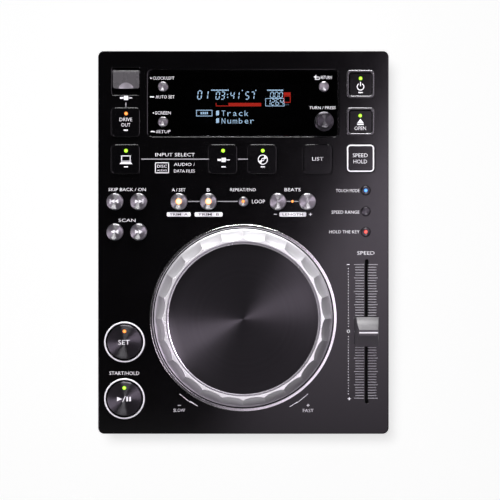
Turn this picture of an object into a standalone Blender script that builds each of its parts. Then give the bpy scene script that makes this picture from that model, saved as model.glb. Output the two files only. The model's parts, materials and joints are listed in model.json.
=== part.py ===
"""Tabletop disc player for a DJ, as an assembly of separate pieces.

Metres, +Z up. X runs to the player's right and Y to its rear, away from the user.
The origin is on the table, under the middle of the whole outline, sockets included.
"""

import math

import bmesh
import bpy
from mathutils import Vector

# Case
CASE_WIDTH = 0.2185
CASE_DEPTH = 0.288
CASE_WALL = 0.0025
CASE_CORNER = 0.0046
CASE_EDGE = 0.0008
PANEL_Z = 0.088
PARTING_Z = 0.036
FOOT_HEIGHT = 0.008
FOOT_RADIUS = 0.012
FOOT_DRAFT = 0.0012
FOOT_INSET = 0.026
TRAY_WALL = 0.002
TRAY_LAP = 0.005
TRAY_EDGE = 0.0015
BOSS_RADIUS = 0.0035
BOSS_END_Z = 0.02
BOSS_INSET = 0.009
LEFT_MIDDLE_BOSS_SHARE = 0.531
RIGHT_MIDDLE_BOSS_FROM_REAR = 0.14
SCREW_HOLE_RADIUS = 0.0018
SCREW_HOLE_DEPTH = 0.012
SCREW_RECESS_RADIUS = 0.0033
SCREW_RECESS_DEPTH = 0.0026
POST_RADIUS = 0.004
VENT_COUNT = 9
VENT_LENGTH = 0.034
VENT_WIDTH = 0.003
VENT_PITCH = 0.0085
VENT_FROM_REAR = 0.03

# Clearances shared by every piece
FIT_GAP = 0.0003
OVERRUN = 0.002
EMBED = 0.001

# Rear panel and what is fixed to it
SOCKET_REACH = 0.0085
REAR_WALL_INSET = 0.01125
REAR_WALL_SHEET = 0.0015
REAR_WALL_TOP_Z = 0.0627
REAR_WALL_STEP = 0.0003
REAR_WALL_HOLD = 0.001
REAR_LIP = 0.003
REAR_NOTCH_LAP = 0.003
SOCKET_Z = 0.036
INLET_FROM_SIDE = 0.04125
INLET_WIDTH = 0.024
INLET_HEIGHT = 0.016
INLET_CORNER = 0.003
INLET_FLANGE = 0.003
INLET_BODY_DEPTH = 0.018
INLET_CAVITY_WIDTH = 0.0186
INLET_CAVITY_HEIGHT = 0.0094
INLET_CAVITY_CORNER = 0.0046
INLET_CAVITY_DEPTH = 0.013
INLET_NOSE = 0.0018
INLET_PIN_RADIUS = 0.00115
INLET_PIN_OFFSET = 0.0043
INLET_PIN_SETBACK = 0.003
AUDIO_FROM_SIDE = 0.04725
SOCKET_PITCH = 0.016
AUDIO_BARREL_RADIUS = 0.0042
AUDIO_BORE_RADIUS = 0.0017
AUDIO_BORE_DEPTH = 0.0095
AUDIO_BODY = 0.013
AUDIO_BODY_DEPTH = 0.012
CONTROL_BARREL_RADIUS = 0.0038
CONTROL_NOSE = 0.0016
COMPUTER_X = 0.012
COMPUTER_WIDTH = 0.012
COMPUTER_HEIGHT = 0.011
COMPUTER_DEPTH = 0.016
COMPUTER_CAVITY_WIDTH = 0.0086
COMPUTER_CAVITY_HEIGHT = 0.0079
COMPUTER_CAVITY_DEPTH = 0.009
COMPUTER_TONGUE_WIDTH = 0.0056
COMPUTER_TONGUE_HEIGHT = 0.0032
COMPUTER_TONGUE_SETBACK = 0.001

# Jog wheel
JOG_FRONT_MARGIN = 0.0172
JOG_REAR_MARGIN = 0.0111
JOG_SIDE_MARGIN = 0.03915
TRIM_WIDTH = 0.0023
WELL_WALL = 0.002
WELL_DEPTH = 0.012
WELL_FLOOR = 0.0025
TRIM_LIP = 0.0007
TRIM_RISE = 0.0016
TRIM_SEAT = 0.001
TRIM_CHAMFER = 0.0004
WHEEL_GAP = 0.0008
WHEEL_FLANGE = 0.0008
WHEEL_FLANGE_TOP = 0.0012
WHEEL_FLANGE_BOTTOM = -0.0015
WHEEL_FOOT_HEIGHT = 0.0018
WHEEL_TAPER = 0.0058
WHEEL_CROWN = 0.003
WHEEL_HEIGHT = 0.0182
WHEEL_MIDDLE_SHARE = 0.5
WHEEL_BULGE = 0.0006
WHEEL_LIP_CHAMFER = 0.0004
WHEEL_SHELL = 0.0022
WHEEL_WEB = 0.002
WHEEL_WEB_TOP = 0.0163
FLUTE_COUNT = 24
FLUTE_STEPS = 3
FLUTE_CROWN_DEPTH = 0.0018
FLUTE_MIDDLE_DEPTH = 0.0012
FLUTE_FOOT_DEPTH = 0.0003
HUB_RADIUS = 0.0105
HUB_BORE_RADIUS = 0.007
HUB_BOTTOM = -0.003
PLATE_GAP = 0.001
PLATE_CHAMFER = 0.0012
PLATE_CHAMFER_DROP = 0.0008
PLATE_RIM_HEIGHT = 0.0198
PLATE_DISH = 0.0009
BEARING_BORE_RADIUS = 0.004
BEARING_LENGTH = 0.014
SPINDLE_RADIUS = 0.0037
SPINDLE_SHOULDER_RADIUS = 0.005
SPINDLE_FLANGE_RADIUS = 0.009
SPINDLE_FLANGE = 0.002
SPINDLE_SPIGOT_DROP = 0.004
ENCODER_RADIUS = 0.024
ENCODER_BORE_RADIUS = 0.0056
ENCODER_SHEET = 0.0008
ENCODER_SLITS = 12
ENCODER_SLIT_DEPTH = 0.003
ENCODER_SLIT_SHARES = (0, 0.45, 0.5, 0.95)

# Display window, with its small keys and its knob
WINDOW_SIDE_GAP = 0.00635
WINDOW_FRONT_GAP = 0.0063
WINDOW_REAR_MARGIN = 0.0148
WINDOW_CORNER = 0.003
WINDOW_SHEET = 0.002
WINDOW_KEY_INSET = 0.0109
WINDOW_REAR_ROW = 0.0270
WINDOW_FRONT_ROW = 0.0534
LEDGE = 0.0016
LEDGE_MARGIN = 0.003
VIEW_KEY_MARGIN = 0.0164
VIEW_END_MARGIN = 0.0087
MODULE_SIDE_MARGIN = 0.006
MODULE_END_MARGIN = 0.003
KNOB_BASE_RADIUS = 0.0072
KNOB_CROWN_RADIUS = 0.0059
KNOB_BASE_HEIGHT = 0.0046
KNOB_HEIGHT = 0.0115
KNOB_LIFT = 0.0026
KNOB_CHAMFER = 0.0006
KNOB_TRAVEL = 0.0005
SHAFT_RADIUS = 0.0029
SHAFT_HOLD = 0.0036
SHAFT_REACH = 0.0075
ENCODER_BODY = 0.012
ENCODER_BODY_DROP = 0.0011

# Keys
KEY_TRAVEL = 0.0005
KEY_GAP = 0.00035
KEY_FLANGE = 0.0014
KEY_FLANGE_MARGIN = 0.0012
KEY_EDGE = 0.0005
SQUARE_KEY_WIDTH = 0.0212
SQUARE_KEY_DEPTH = 0.0222
SQUARE_KEY_CORNER = 0.0032
SQUARE_KEY_RISE = 0.001
LOCK_KEY_SIDE = 0.0212
GUARD_SIDE = 0.0212
GUARD_CORNER = 0.003
GUARD_RISE = 0.0018
GUARD_EDGE = 0.0009
GUARDED_KEY_SIDE = 0.0168
GUARDED_KEY_CORNER = 0.0018
ROUND_KEY_RADIUS = 0.0061
ROUND_KEY_RISE = 0.0022
ROUND_KEY_DISH = 0.0004
EXIT_KEY_RADIUS = 0.0034
MODE_KEY_RADIUS = 0.0031
MODE_KEY_RISE = 0.001
WINDOW_KEY_RADIUS = 0.0036
WINDOW_KEY_RISE = 0.0014
START_KEY_RADIUS = 0.0128
START_KEY_RISE = 0.0012
START_TRIM_RADIUS = 0.0153
START_TRIM_INNER_RADIUS = 0.0137
START_TRIM_RISE = 0.0005
START_TRIM_SEAT = 0.0008

# Where the keys stand, in from the left or right side, off the middle, or in from the rear or front
LEFT_KEY_INSET = 0.0210
TRACK_BACK_INSET = 0.0127
TRACK_FORWARD_INSET = 0.0305
START_KEY_INSET = 0.0199
RIGHT_KEY_INSET = 0.0213
MODE_KEY_INSET = 0.0174
SOURCE_USB_OFFSET = 0.0152
SOURCE_DISC_OFFSET = 0.0144
PLAYLIST_SHARE = 0.5629
LOOP_IN_SHARE = 0.4439
LOOP_OUT_SHARE = 0.2407
LOOP_HALVE_SHARE = 0.2362
LOOP_DOUBLE_SHARE = 0.4403
POWER_ROW = 0.0252
EJECT_ROW = 0.0533
USB_STOP_ROW = 0.0539
SOURCE_ROW = 0.0816
LOCK_ROW = 0.0809
LOOP_ROW = 0.1134
SEARCH_ROW = 0.1362
TOUCH_MODE_ROW = 0.1050
TEMPO_RANGE_ROW = 0.1208
KEY_HOLD_ROW = 0.1362
CUE_FROM_FRONT = 0.0691
PLAY_FROM_FRONT = 0.0265

# Tempo fader
FADER_INSET = 0.0166
FADER_FRONT_MARGIN = 0.0231
FADER_REAR_MARGIN = 0.0176
FADER_SLOT_WIDTH = 0.0024
FADER_SLOT_MARGIN = 0.004
FADER_CAP_WIDTH = 0.0188
FADER_CAP_LENGTH = 0.0218
FADER_CAP_LIFT = 0.0006
FADER_CAP_SHOULDER = 0.0065
FADER_CAP_RIDGE = 0.0155
FADER_CAP_RIDGE_LENGTH = 0.0046
FADER_CAP_DRAFT = 0.0022
FADER_CAP_HOLLOW = 0.0012
FADER_BLADE_WIDTH = 0.0012
FADER_BLADE_LENGTH = 0.005
FADER_BLADE_REACH = 0.009
FADER_CARRIAGE_WIDTH = 0.006
FADER_CARRIAGE_LENGTH = 0.012
FADER_CARRIAGE_HEIGHT = 0.003
FADER_BODY_WIDTH = 0.011
FADER_BODY_HEIGHT = 0.0072
FADER_BODY_WALL = 0.0018
FADER_BODY_END = 0.006

# USB pocket and its flap
POCKET_WIDTH = 0.0212
POCKET_LENGTH = 0.0206
POCKET_FROM_REAR = 0.0230
POCKET_DEPTH = 0.012
POCKET_WALL = 0.0012
POCKET_CORNER = 0.0012
FLAP_WIDTH = 0.0199
FLAP_LENGTH = 0.0125
FLAP_SHEET = 0.0016
FLAP_CORNER = 0.0012
FLAP_DROP = 0.0003
FLAP_BARREL_RADIUS = 0.0015
FLAP_PIN_RADIUS = 0.0008
FLAP_PIN_REACH = 0.0011
FLAP_HINGE_INSET = 0.0031
FLAP_COVER = 0.0002
FLAP_SCOOP_RADIUS = 0.0058
FLAP_SCOOP_DEPTH = 0.0008
USB_CAVITY_WIDTH = 0.0125
USB_CAVITY_DEPTH = 0.0051
USB_SHELL = 0.0005
USB_LENGTH = 0.013
USB_FLANGE = 0.0014
USB_TONGUE_WIDTH = 0.0111
USB_TONGUE_SHEET = 0.0019
USB_TONGUE_SETBACK = 0.001

# Boards
KEY_BOARD_Z = 0.0755
BOARD_SHEET = 0.0016
BOARD_MARGIN = 0.001
SWITCH_SIDE = 0.005
BOARD_POST_HEIGHT = 0.0085
REAR_BOARD_SIDE_MARGIN = 0.01525
REAR_BOARD_MIDDLE_MARGIN = 0.006
REAR_BOARD_REAR_MARGIN = 0.028
REAR_BOARD_DRIVE_MARGIN = 0.002
CAN_SHARE = 0.32
BOARD_POST_INSET = 0.008
PROCESSOR_SIDE = 0.026
PROCESSOR_HEIGHT = 0.004
SIGNAL_CAN_RADIUS = 0.004
SIGNAL_CAN_HEIGHT = 0.01
TRANSFORMER_SIDE = 0.032
TRANSFORMER_HEIGHT = 0.027
MAINS_CAN_RADIUS = 0.009
MAINS_CAN_HEIGHT = 0.03

# Disc drive
SLOT_WIDTH = 0.126
SLOT_HEIGHT = 0.0052
SLOT_Z = 0.052
FELT_SHEET = 0.0012
FELT_HEIGHT = 0.013
FELT_SLIT_MARGIN = 0.002
FELT_SLIT_HEIGHT = 0.0016
DRIVE_WIDTH = 0.148
DRIVE_DEPTH = 0.16
DRIVE_FROM_FRONT = 0.09
DRIVE_SHEET = 0.0012
DRIVE_FLOOR_Z = 0.028
DRIVE_TOP_Z = 0.058
DRIVE_CORNER = 0.003
DRIVE_POST_INSET = 0.012
MOTOR_RADIUS = 0.013
MOTOR_HEIGHT = 0.011
TURNTABLE_RADIUS = 0.016
TURNTABLE_SHEET = 0.003
TURNTABLE_DROP = 0.0035
TURNTABLE_HUB_RADIUS = 0.0074
TURNTABLE_HUB_RISE = 0.0022
TURNTABLE_SHAFT_RADIUS = 0.0015
TURNTABLE_SHAFT_HOLD = 0.007
ROD_RADIUS = 0.0015
ROD_OFFSET = 0.02
ROD_Z = 0.039
ROD_LENGTH = 0.069
ROD_FROM_TURNTABLE = 0.01
ROD_POST_WIDTH = 0.006
ROD_POST_LENGTH = 0.0035
ROD_POST_TOP = 0.004
SCREW_OFFSET = 0.029
LEAD_SCREW_RADIUS = 0.0012
LEAD_GEAR_RADIUS = 0.0048
LEAD_GEAR_LENGTH = 0.0025
SLED_LENGTH = 0.02
SLED_HEIGHT = 0.008
SLED_MARGIN = 0.004
SLED_START = 0.0055
LENS_RADIUS = 0.003
LENS_RISE = 0.002
ROLLER_OVERHANG = 0.002
ROLLER_RADIUS = 0.0045
ROLLER_WAIST = 0.0008
ROLLER_SHAFT_RADIUS = 0.0015
ROLLER_FROM_FRONT = 0.022

# Facets
SMALL_ROUND = 10
COARSE_ROUND = 14
ROUND = 20
FINE_ROUND = 24
JOG_ROUND = 48
CORNER_STEPS = 3

# Places worked out from the sizes above
CASE_Y = -SOCKET_REACH / 2
LEFT = -CASE_WIDTH / 2
RIGHT = CASE_WIDTH / 2
FRONT = CASE_Y - CASE_DEPTH / 2
REAR = CASE_Y + CASE_DEPTH / 2
PANEL_UNDER = PANEL_Z - CASE_WALL
PANEL_MIDDLE = PANEL_Z - CASE_WALL / 2
JOG_DEPTH = CASE_DEPTH - JOG_FRONT_MARGIN - LOOP_ROW - ROUND_KEY_RADIUS - JOG_REAR_MARGIN
TRIM_OUTER_RADIUS = min(CASE_WIDTH / 2 - JOG_SIDE_MARGIN, JOG_DEPTH / 2)
WELL_RADIUS = TRIM_OUTER_RADIUS - TRIM_WIDTH
WHEEL_FLANGE_RADIUS = WELL_RADIUS - WHEEL_GAP
WHEEL_FOOT_RADIUS = WHEEL_FLANGE_RADIUS - WHEEL_FLANGE
WHEEL_CROWN_RADIUS = WHEEL_FOOT_RADIUS - WHEEL_TAPER
WHEEL_LIP_RADIUS = WHEEL_CROWN_RADIUS - WHEEL_CROWN
PLATE_RADIUS = WHEEL_LIP_RADIUS - PLATE_GAP
JOG_Y = FRONT + JOG_FRONT_MARGIN + TRIM_OUTER_RADIUS
WELL_FLOOR_Z = PANEL_Z - WELL_DEPTH
WELL_BOTTOM_Z = WELL_FLOOR_Z - WELL_FLOOR
WINDOW_WIDTH = CASE_WIDTH - 2 * (LEFT_KEY_INSET + SQUARE_KEY_WIDTH / 2 + WINDOW_SIDE_GAP)
WINDOW_DEPTH = SOURCE_ROW - SQUARE_KEY_DEPTH / 2 - WINDOW_FRONT_GAP - WINDOW_REAR_MARGIN
WINDOW_Y = REAR - WINDOW_REAR_MARGIN - WINDOW_DEPTH / 2
WINDOW_KEY_OFFSET = WINDOW_WIDTH / 2 - WINDOW_KEY_INSET
VIEW_WIDTH = 2 * (WINDOW_KEY_OFFSET - VIEW_KEY_MARGIN)
VIEW_DEPTH = WINDOW_DEPTH - 2 * VIEW_END_MARGIN
MODULE_WIDTH = VIEW_WIDTH + 2 * MODULE_SIDE_MARGIN
MODULE_DEPTH = VIEW_DEPTH + 2 * MODULE_END_MARGIN
WINDOW_SEAT_Z = PANEL_Z - WINDOW_SHEET - FIT_GAP
LEDGE_BOTTOM_Z = WINDOW_SEAT_Z - LEDGE
KNOB_Y = REAR - WINDOW_FRONT_ROW
BOARD_TOP_Z = KEY_BOARD_Z + BOARD_SHEET
FADER_X = RIGHT - FADER_INSET
FADER_REAR_END = REAR - KEY_HOLD_ROW - MODE_KEY_RADIUS - FADER_REAR_MARGIN
FADER_SLOT_HALF = (FADER_REAR_END - FRONT - FADER_FRONT_MARGIN) / 2
FADER_Y = FRONT + FADER_FRONT_MARGIN + FADER_SLOT_HALF
FADER_TRAVEL = FADER_SLOT_HALF - FADER_SLOT_MARGIN
POCKET_X = LEFT + LEFT_KEY_INSET
POCKET_Y = REAR - POCKET_FROM_REAR
POCKET_FLOOR_Z = PANEL_Z - POCKET_DEPTH
POCKET_BOTTOM_Z = POCKET_FLOOR_Z - POCKET_WALL
FLAP_AXIS_Y = POCKET_Y + POCKET_LENGTH / 2 - FLAP_HINGE_INSET
FLAP_AXIS_Z = PANEL_Z - FLAP_DROP - FLAP_COVER - FLAP_BARREL_RADIUS
SPINDLE_HOLE_RADIUS = SPINDLE_SHOULDER_RADIUS + FIT_GAP
TRAY_INSET = CASE_WALL + FIT_GAP
TRAY_RIM_Z = PARTING_Z + TRAY_LAP
TRAY_FLOOR_Z = FOOT_HEIGHT + TRAY_WALL
REAR_WALL_FACE = REAR - TRAY_INSET - REAR_WALL_STEP
REAR_WALL_HALF = CASE_WIDTH / 2 - REAR_WALL_INSET
INLET_X = RIGHT - INLET_FROM_SIDE
AUDIO_LEFT_X = LEFT + AUDIO_FROM_SIDE
AUDIO_RIGHT_X = AUDIO_LEFT_X + SOCKET_PITCH
CONTROL_X = AUDIO_RIGHT_X + SOCKET_PITCH
DISC_Z = SLOT_Z
FELT_SLIT_WIDTH = SLOT_WIDTH - 2 * FELT_SLIT_MARGIN
ROLLER_LENGTH = SLOT_WIDTH + 2 * ROLLER_OVERHANG
DRIVE_Y = FRONT + DRIVE_FROM_FRONT
REAR_BOARD_WIDTH = CASE_WIDTH / 2 - REAR_BOARD_SIDE_MARGIN - REAR_BOARD_MIDDLE_MARGIN
REAR_BOARD_OFFSET = REAR_BOARD_MIDDLE_MARGIN + REAR_BOARD_WIDTH / 2
REAR_BOARD_FRONT = DRIVE_Y + DRIVE_DEPTH / 2 + REAR_BOARD_DRIVE_MARGIN
REAR_BOARD_DEPTH = REAR - REAR_BOARD_REAR_MARGIN - REAR_BOARD_FRONT
REAR_BOARD_Y = REAR_BOARD_FRONT + REAR_BOARD_DEPTH / 2
MOTOR_TOP_Z = DRIVE_FLOOR_Z + MOTOR_HEIGHT
ROD_START_Y = JOG_Y + ROD_FROM_TURNTABLE
ROD_END_Y = ROD_START_Y + ROD_LENGTH

# Colour, roughness and metallic of each finish
FINISHES = {
    "black_plastic": ((0.012, 0.011, 0.013), 0.38, 0.0),
    "key_plastic": ((0.014, 0.013, 0.015), 0.32, 0.0),
    "window_acrylic": ((0.003, 0.003, 0.004), 0.08, 0.0),
    "spun_metal": ((0.36, 0.35, 0.36), 0.28, 1.0),
    "dark_spun_metal": ((0.035, 0.034, 0.037), 0.36, 0.7),
    "plated_silver": ((0.62, 0.61, 0.62), 0.2, 1.0),
    "white_trim": ((0.85, 0.85, 0.86), 0.35, 0.0),
    "steel": ((0.45, 0.45, 0.46), 0.35, 1.0),
    "black_steel": ((0.02, 0.02, 0.022), 0.5, 0.2),
    "rubber": ((0.02, 0.02, 0.02), 0.8, 0.0),
    "felt": ((0.015, 0.015, 0.016), 0.95, 0.0),
    "brass": ((0.62, 0.45, 0.2), 0.35, 1.0),
    "circuit_board": ((0.03, 0.16, 0.07), 0.5, 0.0),
    "smoked_flap": ((0.1, 0.095, 0.1), 0.3, 0.0),
    "display_glass": ((0.02, 0.03, 0.035), 0.12, 0.0),
}


def make_finish(name):
    colour, roughness, metallic = FINISHES[name]
    finish = bpy.data.materials.new(name)
    finish.use_nodes = True
    finish.diffuse_color = (*colour, 1.0)
    shader = finish.node_tree.nodes["Principled BSDF"]
    shader.inputs["Base Color"].default_value = (*colour, 1.0)
    shader.inputs["Roughness"].default_value = roughness
    shader.inputs["Metallic"].default_value = metallic
    return finish


# Rings of points, from which every shell is lofted


def placed(flat, along, axis, centre):
    """Flat (u, v) points set at a distance along an axis, round a centre."""
    order = {"X": lambda u, v: (along, u, v), "Y": lambda u, v: (u, along, v), "Z": lambda u, v: (u, v, along)}
    return [Vector(order[axis](u, v)) + Vector(centre) for u, v in flat]


def circle(radius, along, count=ROUND, axis="Z", centre=(0, 0, 0)):
    turns = [math.tau * step / count for step in range(count)]
    return placed([(radius * math.cos(t), radius * math.sin(t)) for t in turns], along, axis, centre)


def rounded(width, depth, corner, along, axis="Z", centre=(0, 0, 0), steps=CORNER_STEPS):
    """A rectangle with round corners."""
    points = []
    for quarter, (side, end) in enumerate(((1, 1), (-1, 1), (-1, -1), (1, -1))):
        for step in range(steps + 1):
            turn = (quarter + step / steps) * math.pi / 2
            points.append(
                (
                    side * (width / 2 - corner) + corner * math.cos(turn),
                    end * (depth / 2 - corner) + corner * math.sin(turn),
                )
            )
    return placed(points, along, axis, centre)


def rectangle(width, depth, along, axis="Z", centre=(0, 0, 0)):
    flat = [(side * width / 2, end * depth / 2) for side, end in ((1, 1), (-1, 1), (-1, -1), (1, -1))]
    return placed(flat, along, axis, centre)


def capped(*rings):
    """A shell closed by a face on its first and last ring."""
    return list(rings), False


def hoop(*rings):
    """A shell whose last ring joins its first, such as a tube's wall."""
    return list(rings), True


def turned(profile, count=ROUND, axis="Z", centre=(0, 0, 0), closed=False):
    """A shell turned from (radius, height) points."""
    return [circle(radius, along, count, axis, centre) for radius, along in profile], closed


def block(low, high):
    """A box between two corners."""
    low, high = Vector(low), Vector(high)
    middle, size = (low + high) / 2, high - low
    return capped(
        rectangle(size.x, size.y, low.z, centre=(middle.x, middle.y, 0)),
        rectangle(size.x, size.y, high.z, centre=(middle.x, middle.y, 0)),
    )


def make_mesh(name, shells):
    form = bmesh.new()
    for rings, closed in shells:
        loops = [[form.verts.new(point) for point in ring] for ring in rings]
        pairs = list(zip(loops, loops[1:]))
        if closed:
            pairs.append((loops[-1], loops[0]))
        else:
            form.faces.new(reversed(loops[0]))
            form.faces.new(loops[-1])
        for first, second in pairs:
            for step, corner in enumerate(first):
                after = (step + 1) % len(first)
                form.faces.new((corner, first[after], second[after], second[step]))
    bmesh.ops.recalc_face_normals(form, faces=form.faces)
    mesh = bpy.data.meshes.new(name)
    form.to_mesh(mesh)
    form.free()
    mesh.shade_smooth()
    mesh.set_sharp_from_angle(angle=math.radians(28))
    return mesh


def make_piece(name, finish, shells, place=(0, 0, 0), parent=None):
    piece = bpy.data.objects.new(name, make_mesh(name, shells))
    piece.data.materials.append(finishes[finish])
    piece.location = place
    piece.parent = parent
    bpy.context.scene.collection.objects.link(piece)
    return piece


def boolean(piece, operation, name, shells):
    """Cuts the shells out of a piece, or joins them to it, with a hidden helper that moves with it."""
    helper = bpy.data.objects.new(name, make_mesh(name, shells))
    helper.parent = piece
    helper.hide_render = True
    helper.display_type = "WIRE"
    bpy.context.scene.collection.objects.link(helper)
    modifier = piece.modifiers.new(name, "BOOLEAN")
    modifier.operation = operation
    modifier.solver = "EXACT"
    modifier.use_self = True
    modifier.object = helper


def make_frame(name, place):
    """An empty on a joint's axis, which carries the pieces that move together."""
    frame = bpy.data.objects.new(name, None)
    frame.location = place
    bpy.context.scene.collection.objects.link(frame)
    return frame


# Where each key stands, what it looks like and what it passes through


def key_table():
    """Name, finish, outline, size and place of every key on the panel."""
    rear_rows = {"track": REAR - LOOP_ROW, "search": REAR - SEARCH_ROW}
    left, right = LEFT + LEFT_KEY_INSET, RIGHT - RIGHT_KEY_INSET
    source_y = REAR - SOURCE_ROW
    mode_x = RIGHT - MODE_KEY_INSET
    start_x = LEFT + START_KEY_INSET
    playlist_x = SOURCE_DISC_OFFSET + (right - SOURCE_DISC_OFFSET) * PLAYLIST_SHARE
    return (
        ("track_back_button", "spun_metal", "round", (LEFT + TRACK_BACK_INSET, rear_rows["track"])),
        ("track_forward_button", "spun_metal", "round", (LEFT + TRACK_FORWARD_INSET, rear_rows["track"])),
        ("search_back_button", "spun_metal", "round", (LEFT + TRACK_BACK_INSET, rear_rows["search"])),
        ("search_forward_button", "spun_metal", "round", (LEFT + TRACK_FORWARD_INSET, rear_rows["search"])),
        ("loop_in_button", "spun_metal", "round", (LEFT * LOOP_IN_SHARE, rear_rows["track"])),
        ("loop_out_button", "spun_metal", "round", (LEFT * LOOP_OUT_SHARE, rear_rows["track"])),
        ("loop_exit_button", "spun_metal", "exit", (0, rear_rows["track"])),
        ("loop_halve_button", "spun_metal", "round", (RIGHT * LOOP_HALVE_SHARE, rear_rows["track"])),
        ("loop_double_button", "spun_metal", "round", (RIGHT * LOOP_DOUBLE_SHARE, rear_rows["track"])),
        ("touch_mode_button", "key_plastic", "mode", (mode_x, REAR - TOUCH_MODE_ROW)),
        ("tempo_range_button", "key_plastic", "mode", (mode_x, REAR - TEMPO_RANGE_ROW)),
        ("key_hold_button", "key_plastic", "mode", (mode_x, REAR - KEY_HOLD_ROW)),
        ("cue_button", "dark_spun_metal", "start", (start_x, FRONT + CUE_FROM_FRONT)),
        ("play_button", "dark_spun_metal", "start", (start_x, FRONT + PLAY_FROM_FRONT)),
        ("usb_stop_button", "key_plastic", "square", (left, REAR - USB_STOP_ROW)),
        ("source_computer_button", "key_plastic", "square", (left, source_y)),
        ("source_usb_button", "key_plastic", "square", (-SOURCE_USB_OFFSET, source_y)),
        ("source_disc_button", "key_plastic", "square", (SOURCE_DISC_OFFSET, source_y)),
        ("playlist_button", "key_plastic", "square", (playlist_x, source_y)),
        ("tempo_lock_button", "key_plastic", "lock", (right, REAR - LOCK_ROW)),
        ("power_button", "key_plastic", "guarded", (right, REAR - POWER_ROW)),
        ("eject_button", "key_plastic", "guarded", (right, REAR - EJECT_ROW)),
        ("time_mode_button", "spun_metal", "window", (-WINDOW_KEY_OFFSET, REAR - WINDOW_REAR_ROW)),
        ("display_mode_button", "spun_metal", "window", (-WINDOW_KEY_OFFSET, REAR - WINDOW_FRONT_ROW)),
        ("back_button", "spun_metal", "window", (WINDOW_KEY_OFFSET, REAR - WINDOW_REAR_ROW)),
    )


# Width, depth and corner of a key's outline, or a radius and a facet count, then its rise and its dish
SQUARE_OUTLINES = {
    "square": (SQUARE_KEY_WIDTH, SQUARE_KEY_DEPTH, SQUARE_KEY_CORNER, SQUARE_KEY_RISE),
    "lock": (LOCK_KEY_SIDE, LOCK_KEY_SIDE, SQUARE_KEY_CORNER, SQUARE_KEY_RISE),
    "guarded": (GUARDED_KEY_SIDE, GUARDED_KEY_SIDE, GUARDED_KEY_CORNER, SQUARE_KEY_RISE),
}
ROUND_OUTLINES = {
    "round": (ROUND_KEY_RADIUS, COARSE_ROUND, ROUND_KEY_RISE, ROUND_KEY_DISH),
    "exit": (EXIT_KEY_RADIUS, COARSE_ROUND, ROUND_KEY_RISE, ROUND_KEY_DISH),
    "mode": (MODE_KEY_RADIUS, COARSE_ROUND, MODE_KEY_RISE, 0),
    "window": (WINDOW_KEY_RADIUS, COARSE_ROUND, WINDOW_KEY_RISE, ROUND_KEY_DISH),
    "start": (START_KEY_RADIUS, FINE_ROUND, START_KEY_RISE, ROUND_KEY_DISH),
}


def key_ceiling(kind):
    """The height of the face that a key's flange stops against."""
    return LEDGE_BOTTOM_Z if kind == "window" else PANEL_UNDER


def key_foot(kind):
    """The height of the underside of a key's flange."""
    return key_ceiling(kind) - FIT_GAP - KEY_FLANGE


def key_hole(kind, x, y, low, high):
    """The cutter for a key's hole."""
    if kind in SQUARE_OUTLINES:
        width, depth, corner, _ = SQUARE_OUTLINES[kind]
        grow = 2 * KEY_GAP
        return capped(
            rounded(width + grow, depth + grow, corner + KEY_GAP, low, centre=(x, y, 0)),
            rounded(width + grow, depth + grow, corner + KEY_GAP, high, centre=(x, y, 0)),
        )
    radius, count, _, _ = ROUND_OUTLINES[kind]
    return turned([(radius + KEY_GAP, low), (radius + KEY_GAP, high)], count, centre=(x, y, 0))


def key_shell(kind):
    """A key as one shell, from its flange up to its face, about its own centre at panel height."""
    foot, stop = key_foot(kind) - PANEL_Z, key_ceiling(kind) - FIT_GAP - PANEL_Z
    if kind in SQUARE_OUTLINES:
        width, depth, corner, rise = SQUARE_OUTLINES[kind]
        wider = 2 * KEY_FLANGE_MARGIN
        return capped(
            rounded(width + wider, depth + wider, corner + KEY_FLANGE_MARGIN, foot),
            rounded(width + wider, depth + wider, corner + KEY_FLANGE_MARGIN, stop),
            rounded(width, depth, corner, stop),
            rounded(width, depth, corner, rise - KEY_EDGE),
            rounded(width - 2 * KEY_EDGE, depth - 2 * KEY_EDGE, corner - KEY_EDGE, rise),
        )
    radius, count, rise, dish = ROUND_OUTLINES[kind]
    profile = [
        (radius + KEY_FLANGE_MARGIN, foot),
        (radius + KEY_FLANGE_MARGIN, stop),
        (radius, stop),
        (radius, rise - KEY_EDGE),
        (radius - KEY_EDGE, rise),
    ]
    if dish:
        profile.append((radius / 4, rise - dish))
    return turned(profile, count)


# The case


def case_outline(inset, corner, height):
    return rounded(
        CASE_WIDTH - 2 * inset, CASE_DEPTH - 2 * inset, corner, height, centre=(0, CASE_Y, 0)
    )


def boss_places():
    cue_y, search_y = FRONT + CUE_FROM_FRONT, REAR - SEARCH_ROW
    left_middle = cue_y + (search_y - cue_y) * LEFT_MIDDLE_BOSS_SHARE
    middle_rows = {-1: left_middle, 1: REAR - RIGHT_MIDDLE_BOSS_FROM_REAR}
    return [
        (side * (CASE_WIDTH / 2 - BOSS_INSET), y)
        for side, middle in middle_rows.items()
        for y in (FRONT + BOSS_INSET, middle, REAR - BOSS_INSET)
    ]


def guard_shell(x, y):
    """The raised rim that keeps a sleeve off the power and eject keys."""
    top = PANEL_Z + GUARD_RISE
    return capped(
        rounded(GUARD_SIDE, GUARD_SIDE, GUARD_CORNER, PANEL_MIDDLE, centre=(x, y, 0)),
        rounded(GUARD_SIDE, GUARD_SIDE, GUARD_CORNER, top - GUARD_EDGE, centre=(x, y, 0)),
        rounded(
            GUARD_SIDE - 2 * GUARD_EDGE, GUARD_SIDE - 2 * GUARD_EDGE, GUARD_CORNER - GUARD_EDGE, top, centre=(x, y, 0)
        ),
    )


def window_outline(grow, height):
    return rounded(
        WINDOW_WIDTH + 2 * grow, WINDOW_DEPTH + 2 * grow, WINDOW_CORNER + grow, height, centre=(0, WINDOW_Y, 0)
    )


def pocket_outline(grow, height):
    return rounded(
        POCKET_WIDTH + 2 * grow, POCKET_LENGTH + 2 * grow, POCKET_CORNER + grow, height, centre=(POCKET_X, POCKET_Y, 0)
    )


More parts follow.
